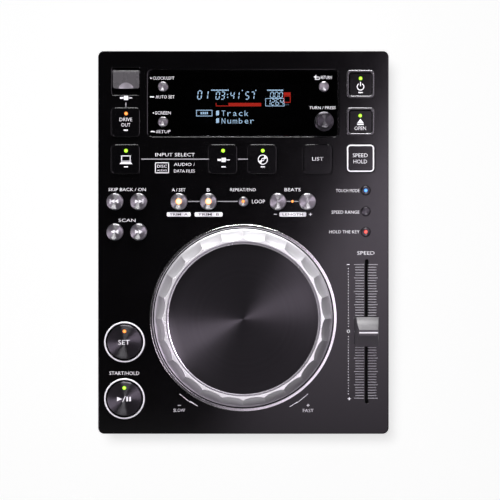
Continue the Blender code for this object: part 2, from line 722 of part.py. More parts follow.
def make_top_case(keys):
    inner_corner = CASE_CORNER - CASE_WALL
    case = make_piece(
        "top_case",
        "black_plastic",
        [
            capped(
                case_outline(CASE_WALL, inner_corner, PANEL_UNDER),
                case_outline(CASE_WALL, inner_corner, PARTING_Z),
                case_outline(0, CASE_CORNER, PARTING_Z),
                case_outline(0, CASE_CORNER, PANEL_Z - CASE_EDGE),
                case_outline(CASE_EDGE, CASE_CORNER - CASE_EDGE, PANEL_Z),
            )
        ],
    )
    well_radius = WELL_RADIUS + WELL_WALL
    additions = [
        turned([(well_radius, WELL_BOTTOM_Z), (well_radius, PANEL_MIDDLE)], JOG_ROUND, centre=(0, JOG_Y, 0)),
        capped(window_outline(LEDGE_MARGIN, LEDGE_BOTTOM_Z), window_outline(LEDGE_MARGIN, PANEL_MIDDLE)),
        capped(pocket_outline(POCKET_WALL, POCKET_BOTTOM_Z), pocket_outline(POCKET_WALL, PANEL_MIDDLE)),
    ]
    for x, y in boss_places():
        additions.append(turned([(BOSS_RADIUS, BOSS_END_Z), (BOSS_RADIUS, PANEL_MIDDLE)], COARSE_ROUND, centre=(x, y, 0)))
    additions += [guard_shell(*place) for _, _, kind, place in keys if kind == "guarded"]
    boolean(case, "UNION", "case_additions", additions)

    above = PANEL_Z + GUARD_RISE + OVERRUN
    seats = [
        turned(
            [
                (SPINDLE_HOLE_RADIUS, WELL_BOTTOM_Z - OVERRUN),
                (SPINDLE_HOLE_RADIUS, WELL_FLOOR_Z),
                (WELL_RADIUS, WELL_FLOOR_Z),
                (WELL_RADIUS, PANEL_Z - TRIM_SEAT),
                (TRIM_OUTER_RADIUS + FIT_GAP, PANEL_Z - TRIM_SEAT),
                (TRIM_OUTER_RADIUS + FIT_GAP, above),
            ],
            JOG_ROUND,
            centre=(0, JOG_Y, 0),
        ),
        capped(window_outline(FIT_GAP, WINDOW_SEAT_Z), window_outline(FIT_GAP, above)),
        capped(pocket_outline(0, POCKET_FLOOR_Z), pocket_outline(0, above)),
    ]
    trim_seat = START_TRIM_RADIUS + FIT_GAP
    for _, _, kind, (x, y) in keys:
        if kind == "start":
            seats.append(
                turned([(trim_seat, PANEL_Z - START_TRIM_SEAT), (trim_seat, above)], FINE_ROUND, centre=(x, y, 0))
            )
    boolean(case, "DIFFERENCE", "case_seats", seats)

    below = LEDGE_BOTTOM_Z - OVERRUN
    holes = [key_hole(kind, x, y, below, above) for _, _, kind, (x, y) in keys]
    knob_hole = SHAFT_RADIUS + KEY_GAP
    holes += [
        turned([(knob_hole, below), (knob_hole, above)], COARSE_ROUND, centre=(WINDOW_KEY_OFFSET, KNOB_Y, 0)),
        capped(
            rectangle(VIEW_WIDTH, VIEW_DEPTH, below, centre=(0, WINDOW_Y, 0)),
            rectangle(VIEW_WIDTH, VIEW_DEPTH, above, centre=(0, WINDOW_Y, 0)),
        ),
        capped(
            rounded(
                FADER_SLOT_WIDTH, 2 * FADER_SLOT_HALF, FADER_SLOT_WIDTH / 3, below, centre=(FADER_X, FADER_Y, 0)
            ),
            rounded(
                FADER_SLOT_WIDTH, 2 * FADER_SLOT_HALF, FADER_SLOT_WIDTH / 3, above, centre=(FADER_X, FADER_Y, 0)
            ),
        ),
        capped(usb_outline(FIT_GAP, POCKET_BOTTOM_Z - OVERRUN), usb_outline(FIT_GAP, POCKET_FLOOR_Z + EMBED)),
        turned(
            [
                (FLAP_PIN_RADIUS + FIT_GAP, side * (POCKET_WIDTH / 2 + FLAP_PIN_REACH - POCKET_WALL / 4))
                for side in (-1, 1)
            ],
            COARSE_ROUND,
            "X",
            (POCKET_X, FLAP_AXIS_Y, FLAP_AXIS_Z),
        ),
        block(
            (-REAR_WALL_HALF + REAR_NOTCH_LAP, REAR - CASE_WALL - EMBED, PARTING_Z - OVERRUN),
            (REAR_WALL_HALF - REAR_NOTCH_LAP, REAR + OVERRUN, REAR_WALL_TOP_Z - REAR_NOTCH_LAP),
        ),
        block(
            (-SLOT_WIDTH / 2, FRONT - OVERRUN, SLOT_Z - SLOT_HEIGHT / 2),
            (SLOT_WIDTH / 2, FRONT + CASE_WALL + EMBED, SLOT_Z + SLOT_HEIGHT / 2),
        ),
    ]
    screw_hole = [(SCREW_HOLE_RADIUS, BOSS_END_Z - OVERRUN), (SCREW_HOLE_RADIUS, BOSS_END_Z + SCREW_HOLE_DEPTH)]
    holes += [turned(screw_hole, SMALL_ROUND, centre=(x, y, 0)) for x, y in boss_places()]
    boolean(case, "DIFFERENCE", "case_holes", holes)


def tray_outline(inset, height):
    inset = TRAY_INSET + inset
    corner = max(CASE_CORNER - inset, CASE_CORNER / 4)
    return case_outline(inset, corner, height)


def board_post_places(side):
    """The four posts under a rear board, which stands left (-1) or right (1) of the middle."""
    half_width = REAR_BOARD_WIDTH / 2 - BOARD_POST_INSET
    half_depth = REAR_BOARD_DEPTH / 2 - BOARD_POST_INSET
    return [
        (side * REAR_BOARD_OFFSET + u * half_width, REAR_BOARD_Y + v * half_depth) for u in (-1, 1) for v in (-1, 1)
    ]


def drive_post_places():
    half_width, half_depth = DRIVE_WIDTH / 2 - DRIVE_POST_INSET, DRIVE_DEPTH / 2 - DRIVE_POST_INSET
    return [(u * half_width, DRIVE_Y + v * half_depth) for u in (-1, 1) for v in (-1, 1)]


def make_bottom_case():
    tray = make_piece(
        "bottom_case",
        "black_steel",
        [
            capped(
                tray_outline(TRAY_WALL, TRAY_FLOOR_Z),
                tray_outline(TRAY_WALL, TRAY_RIM_Z),
                tray_outline(0, TRAY_RIM_Z),
                tray_outline(0, FOOT_HEIGHT + TRAY_EDGE),
                tray_outline(TRAY_EDGE, FOOT_HEIGHT),
            )
        ],
    )
    lip_top = FOOT_HEIGHT + REAR_LIP
    opening = block(
        (-REAR_WALL_HALF, REAR - TRAY_INSET - TRAY_WALL - EMBED, lip_top),
        (REAR_WALL_HALF, REAR + OVERRUN, TRAY_RIM_Z + OVERRUN),
    )
    boolean(tray, "DIFFERENCE", "tray_rear_opening", [opening])

    root = TRAY_FLOOR_Z - EMBED
    rear_wall = block(
        (-REAR_WALL_HALF - REAR_WALL_HOLD, REAR_WALL_FACE - REAR_WALL_SHEET, root),
        (REAR_WALL_HALF + REAR_WALL_HOLD, REAR_WALL_FACE, REAR_WALL_TOP_Z),
    )
    additions = [rear_wall]
    posts = [(POST_RADIUS, BOSS_END_Z - FIT_GAP, boss_places())]
    posts.append((POST_RADIUS, DRIVE_FLOOR_Z - FIT_GAP, drive_post_places()))
    for side in (-1, 1):
        posts.append((BOSS_RADIUS, TRAY_FLOOR_Z + BOARD_POST_HEIGHT, board_post_places(side)))
    for radius, top, places in posts:
        additions += [turned([(radius, root), (radius, top)], SMALL_ROUND, centre=(x, y, 0)) for x, y in places]
    boolean(tray, "UNION", "tray_additions", additions)

    recess_top = FOOT_HEIGHT + SCREW_RECESS_DEPTH
    profile = [
        (SCREW_RECESS_RADIUS, FOOT_HEIGHT - OVERRUN),
        (SCREW_RECESS_RADIUS, recess_top),
        (SCREW_HOLE_RADIUS, recess_top),
        (SCREW_HOLE_RADIUS, BOSS_END_Z + OVERRUN),
    ]
    cuts = [turned(profile, SMALL_ROUND, centre=(x, y, 0)) for x, y in boss_places()]
    for step in range(VENT_COUNT):
        x = (step - (VENT_COUNT - 1) / 2) * VENT_PITCH
        y = REAR - VENT_FROM_REAR
        cuts.append(
            block(
                (x - VENT_WIDTH / 2, y - VENT_LENGTH / 2, FOOT_HEIGHT - OVERRUN),
                (x + VENT_WIDTH / 2, y + VENT_LENGTH / 2, TRAY_FLOOR_Z + OVERRUN),
            )
        )
    cuts += rear_wall_holes()
    boolean(tray, "DIFFERENCE", "tray_cuts", cuts)


def make_feet():
    profile = [
        (FOOT_RADIUS - 2 * FOOT_DRAFT, 0),
        (FOOT_RADIUS - FOOT_DRAFT, FOOT_DRAFT),
        (FOOT_RADIUS, FOOT_HEIGHT - FIT_GAP),
    ]
    for end, y in (("front", FRONT + FOOT_INSET), ("rear", REAR - FOOT_INSET)):
        for hand, side in (("left", -1), ("right", 1)):
            place = (side * (CASE_WIDTH / 2 - FOOT_INSET), y, 0)
            make_piece(f"rubber_foot_{end}_{hand}", "rubber", [turned(profile)], place=place)


# The rear wall's holes and its sockets


def rear_wall_holes():
    inner, outer = REAR_WALL_FACE - REAR_WALL_SHEET - OVERRUN, REAR_WALL_FACE + OVERRUN
    grow = 2 * FIT_GAP
    inlet = [
        rounded(INLET_WIDTH + grow, INLET_HEIGHT + grow, INLET_CORNER, y, "Y", (INLET_X, 0, SOCKET_Z))
        for y in (inner, outer)
    ]
    computer = [
        rectangle(COMPUTER_WIDTH + grow, COMPUTER_HEIGHT + grow, y, "Y", (COMPUTER_X, 0, SOCKET_Z))
        for y in (inner, outer)
    ]
    holes = [capped(*inlet), capped(*computer)]
    for x, radius, _ in barrels():
        hole = radius + FIT_GAP
        holes.append(turned([(hole, inner), (hole, outer)], COARSE_ROUND, "Y", (x, 0, SOCKET_Z)))
    return holes


def barrels():
    """Place, radius and rear end of each round socket."""
    audio_end, control_end = REAR + SOCKET_REACH, REAR_WALL_FACE + CONTROL_NOSE
    return (
        (AUDIO_LEFT_X, AUDIO_BARREL_RADIUS, audio_end),
        (AUDIO_RIGHT_X, AUDIO_BARREL_RADIUS, audio_end),
        (CONTROL_X, CONTROL_BARREL_RADIUS, control_end),
    )


def make_mains_inlet():
    behind = REAR_WALL_FACE - REAR_WALL_SHEET - FIT_GAP
    face = REAR_WALL_FACE + INLET_NOSE
    centre = (INLET_X, 0, SOCKET_Z)
    wide, high = INLET_WIDTH + 2 * INLET_FLANGE, INLET_HEIGHT + 2 * INLET_FLANGE
    inlet = make_piece(
        "mains_inlet",
        "key_plastic",
        [
            capped(
                rounded(wide, high, INLET_CORNER, behind - INLET_BODY_DEPTH, "Y", centre),
                rounded(wide, high, INLET_CORNER, behind, "Y", centre),
                rounded(INLET_WIDTH, INLET_HEIGHT, INLET_CORNER, behind, "Y", centre),
                rounded(INLET_WIDTH, INLET_HEIGHT, INLET_CORNER, face, "Y", centre),
            )
        ],
    )
    cavity = (INLET_CAVITY_WIDTH, INLET_CAVITY_HEIGHT, INLET_CAVITY_CORNER)
    boolean(
        inlet,
        "DIFFERENCE",
        "inlet_cavity",
        [
            capped(
                rounded(*cavity, face - INLET_CAVITY_DEPTH, "Y", centre, 4),
                rounded(*cavity, face + OVERRUN, "Y", centre, 4),
            )
        ],
    )
    pins = [
        turned(
            [
                (INLET_PIN_RADIUS, face - INLET_CAVITY_DEPTH - EMBED),
                (INLET_PIN_RADIUS, face - INLET_PIN_SETBACK),
            ],
            COARSE_ROUND,
            "Y",
            (INLET_X + side * INLET_PIN_OFFSET, 0, SOCKET_Z),
        )
        for side in (-1, 1)
    ]
    boolean(inlet, "UNION", "inlet_pins", pins)


def make_audio_sockets():
    """The audio pair and the control socket, on one moulded body behind the wall."""
    behind = REAR_WALL_FACE - REAR_WALL_SHEET - FIT_GAP
    half = AUDIO_BODY / 2
    body = block(
        (AUDIO_LEFT_X - half, behind - AUDIO_BODY_DEPTH, SOCKET_Z - half), (CONTROL_X + half, behind, SOCKET_Z + half)
    )
    sockets = make_piece("audio_sockets", "plated_silver", [body])
    rims, bores = [], []
    for x, radius, end in barrels():
        place = (x, 0, SOCKET_Z)
        rims.append(turned([(radius, behind - EMBED), (radius, end)], COARSE_ROUND, "Y", place))
        bore = [(AUDIO_BORE_RADIUS, end - AUDIO_BORE_DEPTH), (AUDIO_BORE_RADIUS, end + OVERRUN)]
        bores.append(turned(bore, SMALL_ROUND, "Y", place))
    boolean(sockets, "UNION", "audio_barrels", rims)
    boolean(sockets, "DIFFERENCE", "audio_bores", bores)


def make_computer_socket():
    centre = (COMPUTER_X, 0, SOCKET_Z)
    face = REAR_WALL_FACE
    socket = make_piece(
        "computer_socket",
        "steel",
        [
            capped(*[
                rectangle(COMPUTER_WIDTH, COMPUTER_HEIGHT, y, "Y", centre) for y in (face - COMPUTER_DEPTH, face)
            ])
        ],
    )
    back = face - COMPUTER_CAVITY_DEPTH
    cavity = [
        rectangle(COMPUTER_CAVITY_WIDTH, COMPUTER_CAVITY_HEIGHT, y, "Y", centre) for y in (back, face + OVERRUN)
    ]
    boolean(socket, "DIFFERENCE", "computer_socket_cavity", [capped(*cavity)])
    tongue = [
        rectangle(COMPUTER_TONGUE_WIDTH, COMPUTER_TONGUE_HEIGHT, y, "Y", centre)
        for y in (back - EMBED, face - COMPUTER_TONGUE_SETBACK)
    ]
    boolean(socket, "UNION", "computer_socket_tongue", [capped(*tongue)])


# The jog wheel


def fluted(radius, height, depth):
    """A ring of the wheel, scooped by depth between one ridge and the next."""
    count = FLUTE_COUNT * FLUTE_STEPS
    points = []
    for step in range(count):
        across = 2 * (step % FLUTE_STEPS) / FLUTE_STEPS - 1
        here = radius - depth * (1 - across * across)
        turn = math.tau * step / count
        points.append((here * math.cos(turn), here * math.sin(turn)))
    return placed(points, height, "Z", (0, 0, 0))


def make_jog():
    spin = make_frame("jog_frame", (0, JOG_Y, PANEL_Z))
    middle_height = WHEEL_FOOT_HEIGHT + WHEEL_MIDDLE_SHARE * (WHEEL_HEIGHT - WHEEL_FOOT_HEIGHT)
    middle_radius = (WHEEL_FOOT_RADIUS + WHEEL_CROWN_RADIUS) / 2 + WHEEL_BULGE
    under_web = WHEEL_WEB_TOP - WHEEL_WEB
    section = (
        (HUB_BORE_RADIUS, HUB_BOTTOM, 0),
        (HUB_BORE_RADIUS, WHEEL_WEB_TOP, 0),
        (WHEEL_LIP_RADIUS - WHEEL_LIP_CHAMFER, WHEEL_WEB_TOP, 0),
        (WHEEL_LIP_RADIUS - WHEEL_LIP_CHAMFER, WHEEL_HEIGHT - WHEEL_LIP_CHAMFER, 0),
        (WHEEL_LIP_RADIUS, WHEEL_HEIGHT, 0),
        (WHEEL_CROWN_RADIUS, WHEEL_HEIGHT, FLUTE_CROWN_DEPTH),
        (middle_radius, middle_height, FLUTE_MIDDLE_DEPTH),
        (WHEEL_FOOT_RADIUS, WHEEL_FOOT_HEIGHT, FLUTE_FOOT_DEPTH),
        (WHEEL_FLANGE_RADIUS, WHEEL_FLANGE_TOP, 0),
        (WHEEL_FLANGE_RADIUS, WHEEL_FLANGE_BOTTOM, 0),
        (WHEEL_FLANGE_RADIUS - WHEEL_SHELL, WHEEL_FLANGE_BOTTOM, 0),
        (WHEEL_CROWN_RADIUS - FLUTE_CROWN_DEPTH - WHEEL_SHELL, under_web, 0),
        (HUB_RADIUS, under_web, 0),
        (HUB_RADIUS, HUB_BOTTOM, 0),
    )
    make_piece("jog_wheel", "plated_silver", [hoop(*[fluted(*row) for row in section])], parent=spin)

    plate_bottom = WHEEL_WEB_TOP + FIT_GAP
    profile = [
        (PLATE_RADIUS, plate_bottom),
        (PLATE_RADIUS, PLATE_RIM_HEIGHT - PLATE_CHAMFER_DROP),
        (PLATE_RADIUS - PLATE_CHAMFER, PLATE_RIM_HEIGHT),
        (PLATE_RADIUS / 8, PLATE_RIM_HEIGHT - PLATE_DISH),
    ]
    make_piece("jog_top_plate", "dark_spun_metal", [turned(profile, JOG_ROUND)], parent=spin)

    bearing_top = WHEEL_WEB_TOP - FIT_GAP
    bearing_bottom = bearing_top - BEARING_LENGTH
    outer = HUB_BORE_RADIUS - FIT_GAP
    profile = [
        (BEARING_BORE_RADIUS, bearing_bottom),
        (BEARING_BORE_RADIUS, bearing_top),
        (outer, bearing_top),
        (outer, bearing_bottom),
    ]
    make_piece("jog_bearing", "brass", [turned(profile, ROUND, closed=True)], parent=spin)

    make_piece("jog_encoder_disc", "steel", [encoder_shell()], parent=spin)

    seat = PANEL_Z - TRIM_SEAT + FIT_GAP
    top = PANEL_Z + TRIM_RISE
    profile = [
        (WELL_RADIUS, seat),
        (TRIM_OUTER_RADIUS, seat),
        (TRIM_OUTER_RADIUS, top - TRIM_CHAMFER),
        (TRIM_OUTER_RADIUS - TRIM_CHAMFER, top),
        (TRIM_OUTER_RADIUS - TRIM_CHAMFER - TRIM_LIP, top),
        (WELL_RADIUS, seat + TRIM_CHAMFER),
    ]
    make_piece(
        "jog_trim_ring", "plated_silver", [turned(profile, JOG_ROUND, closed=True)], place=(0, JOG_Y, 0)
    )
    floor = WELL_FLOOR_Z + FIT_GAP
    shoulder = PANEL_Z + bearing_bottom - FIT_GAP
    profile = [
        (SPINDLE_SHOULDER_RADIUS, WELL_BOTTOM_Z - SPINDLE_SPIGOT_DROP),
        (SPINDLE_SHOULDER_RADIUS, floor),
        (SPINDLE_FLANGE_RADIUS, floor),
        (SPINDLE_FLANGE_RADIUS, floor + SPINDLE_FLANGE),
        (SPINDLE_SHOULDER_RADIUS, floor + SPINDLE_FLANGE),
        (SPINDLE_SHOULDER_RADIUS, shoulder),
        (SPINDLE_RADIUS, shoulder),
        (SPINDLE_RADIUS, PANEL_Z + bearing_top),
    ]
    make_piece("jog_spindle", "steel", [turned(profile)], place=(0, JOG_Y, 0))


def encoder_shell():
    """The slit disc that the jog wheel's sensor reads, under the hub."""
    top = HUB_BOTTOM - FIT_GAP
    bottom = top - ENCODER_SHEET
    rim, bore = [], []
    for slit in range(ENCODER_SLITS):
        for share in ENCODER_SLIT_SHARES:
            radius = ENCODER_RADIUS if share < ENCODER_SLIT_SHARES[2] else ENCODER_RADIUS - ENCODER_SLIT_DEPTH
            turn = math.tau * (slit + share) / ENCODER_SLITS
            rim.append((radius * math.cos(turn), radius * math.sin(turn)))
            bore.append((ENCODER_BORE_RADIUS * math.cos(turn), ENCODER_BORE_RADIUS * math.sin(turn)))
    middle = (0, 0, 0)
    return hoop(
        placed(bore, bottom, "Z", middle),
        placed(bore, top, "Z", middle),
        placed(rim, top, "Z", middle),
        placed(rim, bottom, "Z", middle),
    )


# The keys, their trim and the switches under them


def make_keys(keys):
    for name, finish, kind, (x, y) in keys:
        make_piece(name, finish, [key_shell(kind)], place=(x, y, PANEL_Z))
    seat = PANEL_Z - START_TRIM_SEAT + FIT_GAP
    top = PANEL_Z + START_TRIM_RISE
    profile = [
        (START_TRIM_INNER_RADIUS, seat),
        (START_TRIM_RADIUS, seat),
        (START_TRIM_RADIUS, top),
        (START_TRIM_INNER_RADIUS, top),
    ]
    for name, _, kind, (x, y) in keys:
        if kind == "start":
            trim = turned(profile, FINE_ROUND, closed=True)
            make_piece(name.replace("button", "trim_ring"), "white_trim", [trim], place=(x, y, 0))


def make_key_board(keys):
    inset = CASE_WALL + BOARD_MARGIN
    board = make_piece(
        "key_board",
        "circuit_board",
        [
            capped(
                case_outline(inset, CASE_CORNER - CASE_WALL, KEY_BOARD_Z),
                case_outline(inset, CASE_CORNER - CASE_WALL, BOARD_TOP_Z),
            )
        ],
    )
    low, high = KEY_BOARD_Z - OVERRUN, BOARD_TOP_Z + OVERRUN
    well = WELL_RADIUS + WELL_WALL + FIT_GAP
    boss = BOSS_RADIUS + FIT_GAP
    cuts = [
        turned([(well, low), (well, high)], JOG_ROUND, centre=(0, JOG_Y, 0)),
        capped(pocket_outline(POCKET_WALL + FIT_GAP, low), pocket_outline(POCKET_WALL + FIT_GAP, high)),
    ]
    cuts += [turned([(boss, low), (boss, high)], COARSE_ROUND, centre=(x, y, 0)) for x, y in boss_places()]
    boolean(board, "DIFFERENCE", "key_board_cuts", cuts)
    top = LEDGE_BOTTOM_Z - ENCODER_BODY_DROP
    half = ENCODER_BODY / 2
    body = block(
        (WINDOW_KEY_OFFSET - half, KNOB_Y - half, BOARD_TOP_Z - EMBED / 2),
        (WINDOW_KEY_OFFSET + half, KNOB_Y + half, top),
    )
    half = SWITCH_SIDE / 2
    switches = []
    for _, _, kind, (x, y) in keys:
        switch_top = key_foot(kind) - KEY_TRAVEL - FIT_GAP
        switches.append(block((x - half, y - half, BOARD_TOP_Z - EMBED / 2), (x + half, y + half, switch_top)))
    boolean(board, "UNION", "switches", [body, *switches])
    bore = SHAFT_RADIUS + FIT_GAP
    bore_bottom = top - SHAFT_HOLD - KNOB_TRAVEL - FIT_GAP
    place = (WINDOW_KEY_OFFSET, KNOB_Y, 0)
    boolean(
        board,
        "DIFFERENCE",
        "select_encoder_bore",
        [turned([(bore, bore_bottom), (bore, top + OVERRUN)], COARSE_ROUND, centre=place)],
    )


# The display window, the module under it and the select knob


def make_display(keys):
    low, high = WINDOW_SEAT_Z + FIT_GAP, PANEL_Z
    window = make_piece("display_window", "window_acrylic", [capped(window_outline(0, low), window_outline(0, high))])
    above, below = high + OVERRUN, low - OVERRUN
    holes = [key_hole(kind, x, y, below, above) for _, _, kind, (x, y) in keys if kind == "window"]
    hole = SHAFT_RADIUS + KEY_GAP
    holes.append(turned([(hole, below), (hole, above)], COARSE_ROUND, centre=(WINDOW_KEY_OFFSET, KNOB_Y, 0)))
    boolean(window, "DIFFERENCE", "window_holes", holes)
    make_piece(
        "display_module",
        "display_glass",
        [
            block(
                (-MODULE_WIDTH / 2, WINDOW_Y - MODULE_DEPTH / 2, BOARD_TOP_Z + FIT_GAP),
                (MODULE_WIDTH / 2, WINDOW_Y + MODULE_DEPTH / 2, LEDGE_BOTTOM_Z - FIT_GAP),
            )
        ],
    )


def make_select_knob():
    turn = make_frame("select_frame", (WINDOW_KEY_OFFSET, KNOB_Y, PANEL_Z))
    shaft_bottom = LEDGE_BOTTOM_Z - ENCODER_BODY_DROP - SHAFT_HOLD - PANEL_Z
    shaft_top = KNOB_LIFT + SHAFT_REACH
    make_piece(
        "select_shaft",
        "steel",
        [turned([(SHAFT_RADIUS, shaft_bottom), (SHAFT_RADIUS, shaft_top)], COARSE_ROUND)],
        parent=turn,
    )
    socket = SHAFT_RADIUS + FIT_GAP
    profile = [
        (socket, shaft_top + FIT_GAP),
        (socket, KNOB_LIFT),
        (KNOB_BASE_RADIUS, KNOB_LIFT),
        (KNOB_BASE_RADIUS, KNOB_BASE_HEIGHT),
        (KNOB_CROWN_RADIUS, KNOB_HEIGHT - KNOB_CHAMFER),
        (KNOB_CROWN_RADIUS - KNOB_CHAMFER, KNOB_HEIGHT),
    ]
    make_piece("select_knob", "dark_spun_metal", [turned(profile)], parent=turn)


# The tempo fader


def cap_outline():
    """The side of the fader's cap: two hollowed flanks that rise to a flat ridge."""
    half, ridge = FADER_CAP_LENGTH / 2, FADER_CAP_RIDGE_LENGTH / 2
    rise = FADER_CAP_RIDGE - FADER_CAP_SHOULDER
    flank = []
    steps = 4
    for step in range(steps + 1):
        share = step / steps
        hollow = FADER_CAP_HOLLOW * math.sin(math.pi * share)
        flank.append((half + (ridge - half) * share, FADER_CAP_SHOULDER + rise * share - hollow))
    right = [(half, FADER_CAP_LIFT), *flank]
    return right + [(-y, z) for y, z in reversed(right)]


def make_fader():
    slide = make_frame("fader_frame", (FADER_X, FADER_Y, PANEL_Z))
    side_slope = FADER_CAP_DRAFT / FADER_CAP_RIDGE
    rings = [
        [Vector((side * (FADER_CAP_WIDTH / 2 - side_slope * z), y, z)) for y, z in cap_outline()] for side in (-1, 1)
    ]
    cap = make_piece("tempo_fader_knob", "black_plastic", [capped(*rings)], parent=slide)
    socket_width, socket_length = FADER_BLADE_WIDTH + 2 * FIT_GAP, FADER_BLADE_LENGTH + 2 * FIT_GAP
    socket = [
        rectangle(socket_width, socket_length, FADER_CAP_LIFT - OVERRUN),
        rectangle(socket_width, socket_length, FADER_BLADE_REACH + FIT_GAP),
    ]
    boolean(cap, "DIFFERENCE", "fader_cap_socket", [capped(*socket)])

    body_top = -CASE_WALL - FIT_GAP
    carriage_bottom = body_top - FADER_BODY_HEIGHT + FADER_BODY_WALL + FIT_GAP
    carriage_top = carriage_bottom + FADER_CARRIAGE_HEIGHT
    lever = capped(
        rectangle(FADER_CARRIAGE_WIDTH, FADER_CARRIAGE_LENGTH, carriage_bottom),
        rectangle(FADER_CARRIAGE_WIDTH, FADER_CARRIAGE_LENGTH, carriage_top),
        rectangle(FADER_BLADE_WIDTH, FADER_BLADE_LENGTH, carriage_top),
        rectangle(FADER_BLADE_WIDTH, FADER_BLADE_LENGTH, FADER_BLADE_REACH),
    )
    make_piece("tempo_fader_lever", "steel", [lever], parent=slide)

    channel_half = FADER_TRAVEL + FADER_CARRIAGE_LENGTH / 2 + FIT_GAP
    length = 2 * (channel_half + FADER_BODY_END)
    top = PANEL_Z + body_top
    place = (FADER_X, FADER_Y, 0)
    body = make_piece(
        "tempo_fader_body",
        "steel",
        [
            capped(*[
                rectangle(FADER_BODY_WIDTH, length, z, centre=place) for z in (top - FADER_BODY_HEIGHT, top)
            ])
        ],
    )
    channel_width = FADER_CARRIAGE_WIDTH + 2 * FIT_GAP
    channel = [
        rectangle(channel_width, 2 * channel_half, z, centre=place)
        for z in (top - FADER_BODY_HEIGHT + FADER_BODY_WALL, top + OVERRUN)
    ]
    boolean(body, "DIFFERENCE", "fader_channel", [capped(*channel)])


# The USB pocket's flap and socket


def usb_outline(grow, height):
    wide, deep = USB_CAVITY_WIDTH + 2 * (USB_SHELL + grow), USB_CAVITY_DEPTH + 2 * (USB_SHELL + grow)
    return rectangle(wide, deep, height, centre=(POCKET_X, POCKET_Y, 0))


def make_usb_flap():
    half = FLAP_WIDTH / 2
    top = PANEL_Z - FLAP_DROP - FLAP_AXIS_Z
    middle = -FLAP_LENGTH / 2
    plate = [
        rounded(FLAP_WIDTH, FLAP_LENGTH, FLAP_CORNER, z, centre=(0, middle, 0)) for z in (top - FLAP_SHEET, top)
    ]
    flap = make_piece("usb_flap", "smoked_flap", [capped(*plate)], place=(POCKET_X, FLAP_AXIS_Y, FLAP_AXIS_Z))
    pin = POCKET_WIDTH / 2 + FLAP_PIN_REACH - POCKET_WALL / 4 - FIT_GAP
    barrel = [
        (FLAP_PIN_RADIUS, -pin),
        (FLAP_PIN_RADIUS, -half),
        (FLAP_BARREL_RADIUS, -half),
        (FLAP_BARREL_RADIUS, half),
        (FLAP_PIN_RADIUS, half),
        (FLAP_PIN_RADIUS, pin),
    ]
    boolean(flap, "UNION", "flap_barrel", [turned(barrel, COARSE_ROUND, "X")])
    ball = (FLAP_SCOOP_RADIUS**2 + FLAP_SCOOP_DEPTH**2) / (2 * FLAP_SCOOP_DEPTH)
    lift = top + ball - FLAP_SCOOP_DEPTH
    rows = 4
    steepest = math.asin(FLAP_SCOOP_RADIUS / ball) * 1.3
    bowl = []
    for row in range(1, rows + 1):
        lean = steepest * row / rows
        bowl.append((ball * math.sin(lean), lift - ball * math.cos(lean)))
    scoop = turned(bowl, COARSE_ROUND, centre=(0, -FLAP_LENGTH, 0))
    boolean(flap, "DIFFERENCE", "flap_scoop", [scoop])


def make_usb_socket():
    top = POCKET_FLOOR_Z
    bottom = top - USB_LENGTH
    flange_top = POCKET_BOTTOM_Z - FIT_GAP
    flange = USB_FLANGE
    socket = make_piece(
        "usb_socket",
        "steel",
        [
            capped(
                usb_outline(0, bottom),
                usb_outline(0, flange_top - flange),
                usb_outline(flange, flange_top - flange),
                usb_outline(flange, flange_top),
                usb_outline(0, flange_top),
                usb_outline(0, top),
            )
        ],
    )
    floor = bottom + USB_SHELL
    boolean(
        socket,
        "DIFFERENCE",
        "usb_cavity",
        [capped(usb_outline(-USB_SHELL, floor), usb_outline(-USB_SHELL, top + OVERRUN))],
    )
    centre = (POCKET_X, POCKET_Y, 0)
    tongue = [
        rectangle(USB_TONGUE_WIDTH, USB_TONGUE_SHEET, z, centre=centre)
        for z in (floor - USB_SHELL / 2, top - USB_TONGUE_SETBACK)
    ]
    boolean(socket, "UNION", "usb_tongue", [capped(*tongue)])


# The boards at the rear of the case


def make_rear_boards():
    low = TRAY_FLOOR_Z + BOARD_POST_HEIGHT + FIT_GAP
    high = low + BOARD_SHEET
    middle_y = REAR_BOARD_Y
    can_y = middle_y + CAN_SHARE * REAR_BOARD_DEPTH
    for name, side in (("power_board", 1), ("main_board", -1)):
        x = side * REAR_BOARD_OFFSET
        board = make_piece(
            name,
            "circuit_board",
            [capped(*[rectangle(REAR_BOARD_WIDTH, REAR_BOARD_DEPTH, z, centre=(x, middle_y, 0)) for z in (low, high)])],
        )
        root = high - EMBED
        if side > 0:
            half = TRANSFORMER_SIDE / 2
            parts = [
                block((x - half, middle_y - half, root), (x + half, middle_y + half, high + TRANSFORMER_HEIGHT)),
            ]
            away, radius, rise = TRANSFORMER_SIDE, MAINS_CAN_RADIUS, MAINS_CAN_HEIGHT
        else:
            half = PROCESSOR_SIDE / 2
            parts = [
                block((x - half, middle_y - half, root), (x + half, middle_y + half, high + PROCESSOR_HEIGHT)),
            ]
            away, radius, rise = PROCESSOR_SIDE, SIGNAL_CAN_RADIUS, SIGNAL_CAN_HEIGHT
        for end in (-1, 1):
            place = (x + end * away, can_y, 0)
            parts.append(turned([(radius, root), (radius, high + rise)], COARSE_ROUND, centre=place))
        boolean(board, "UNION", name + "_components", parts)


# The slot-loading disc drive


def make_slot_felt():
    """The strip of felt on the drive's front, whose slit brushes the dust off a disc."""
    back = DRIVE_Y - DRIVE_DEPTH / 2 - FIT_GAP
    front = back - FELT_SHEET
    centre = (0, 0, SLOT_Z)
    slit = (FELT_SLIT_WIDTH, FELT_SLIT_HEIGHT)
    felt = hoop(
        rectangle(SLOT_WIDTH, FELT_HEIGHT, front, "Y", centre),
        rectangle(SLOT_WIDTH, FELT_HEIGHT, back, "Y", centre),
        rectangle(*slit, back, "Y", centre),
        rectangle(*slit, front, "Y", centre),
    )
    make_piece("slot_felt", "felt", [felt])


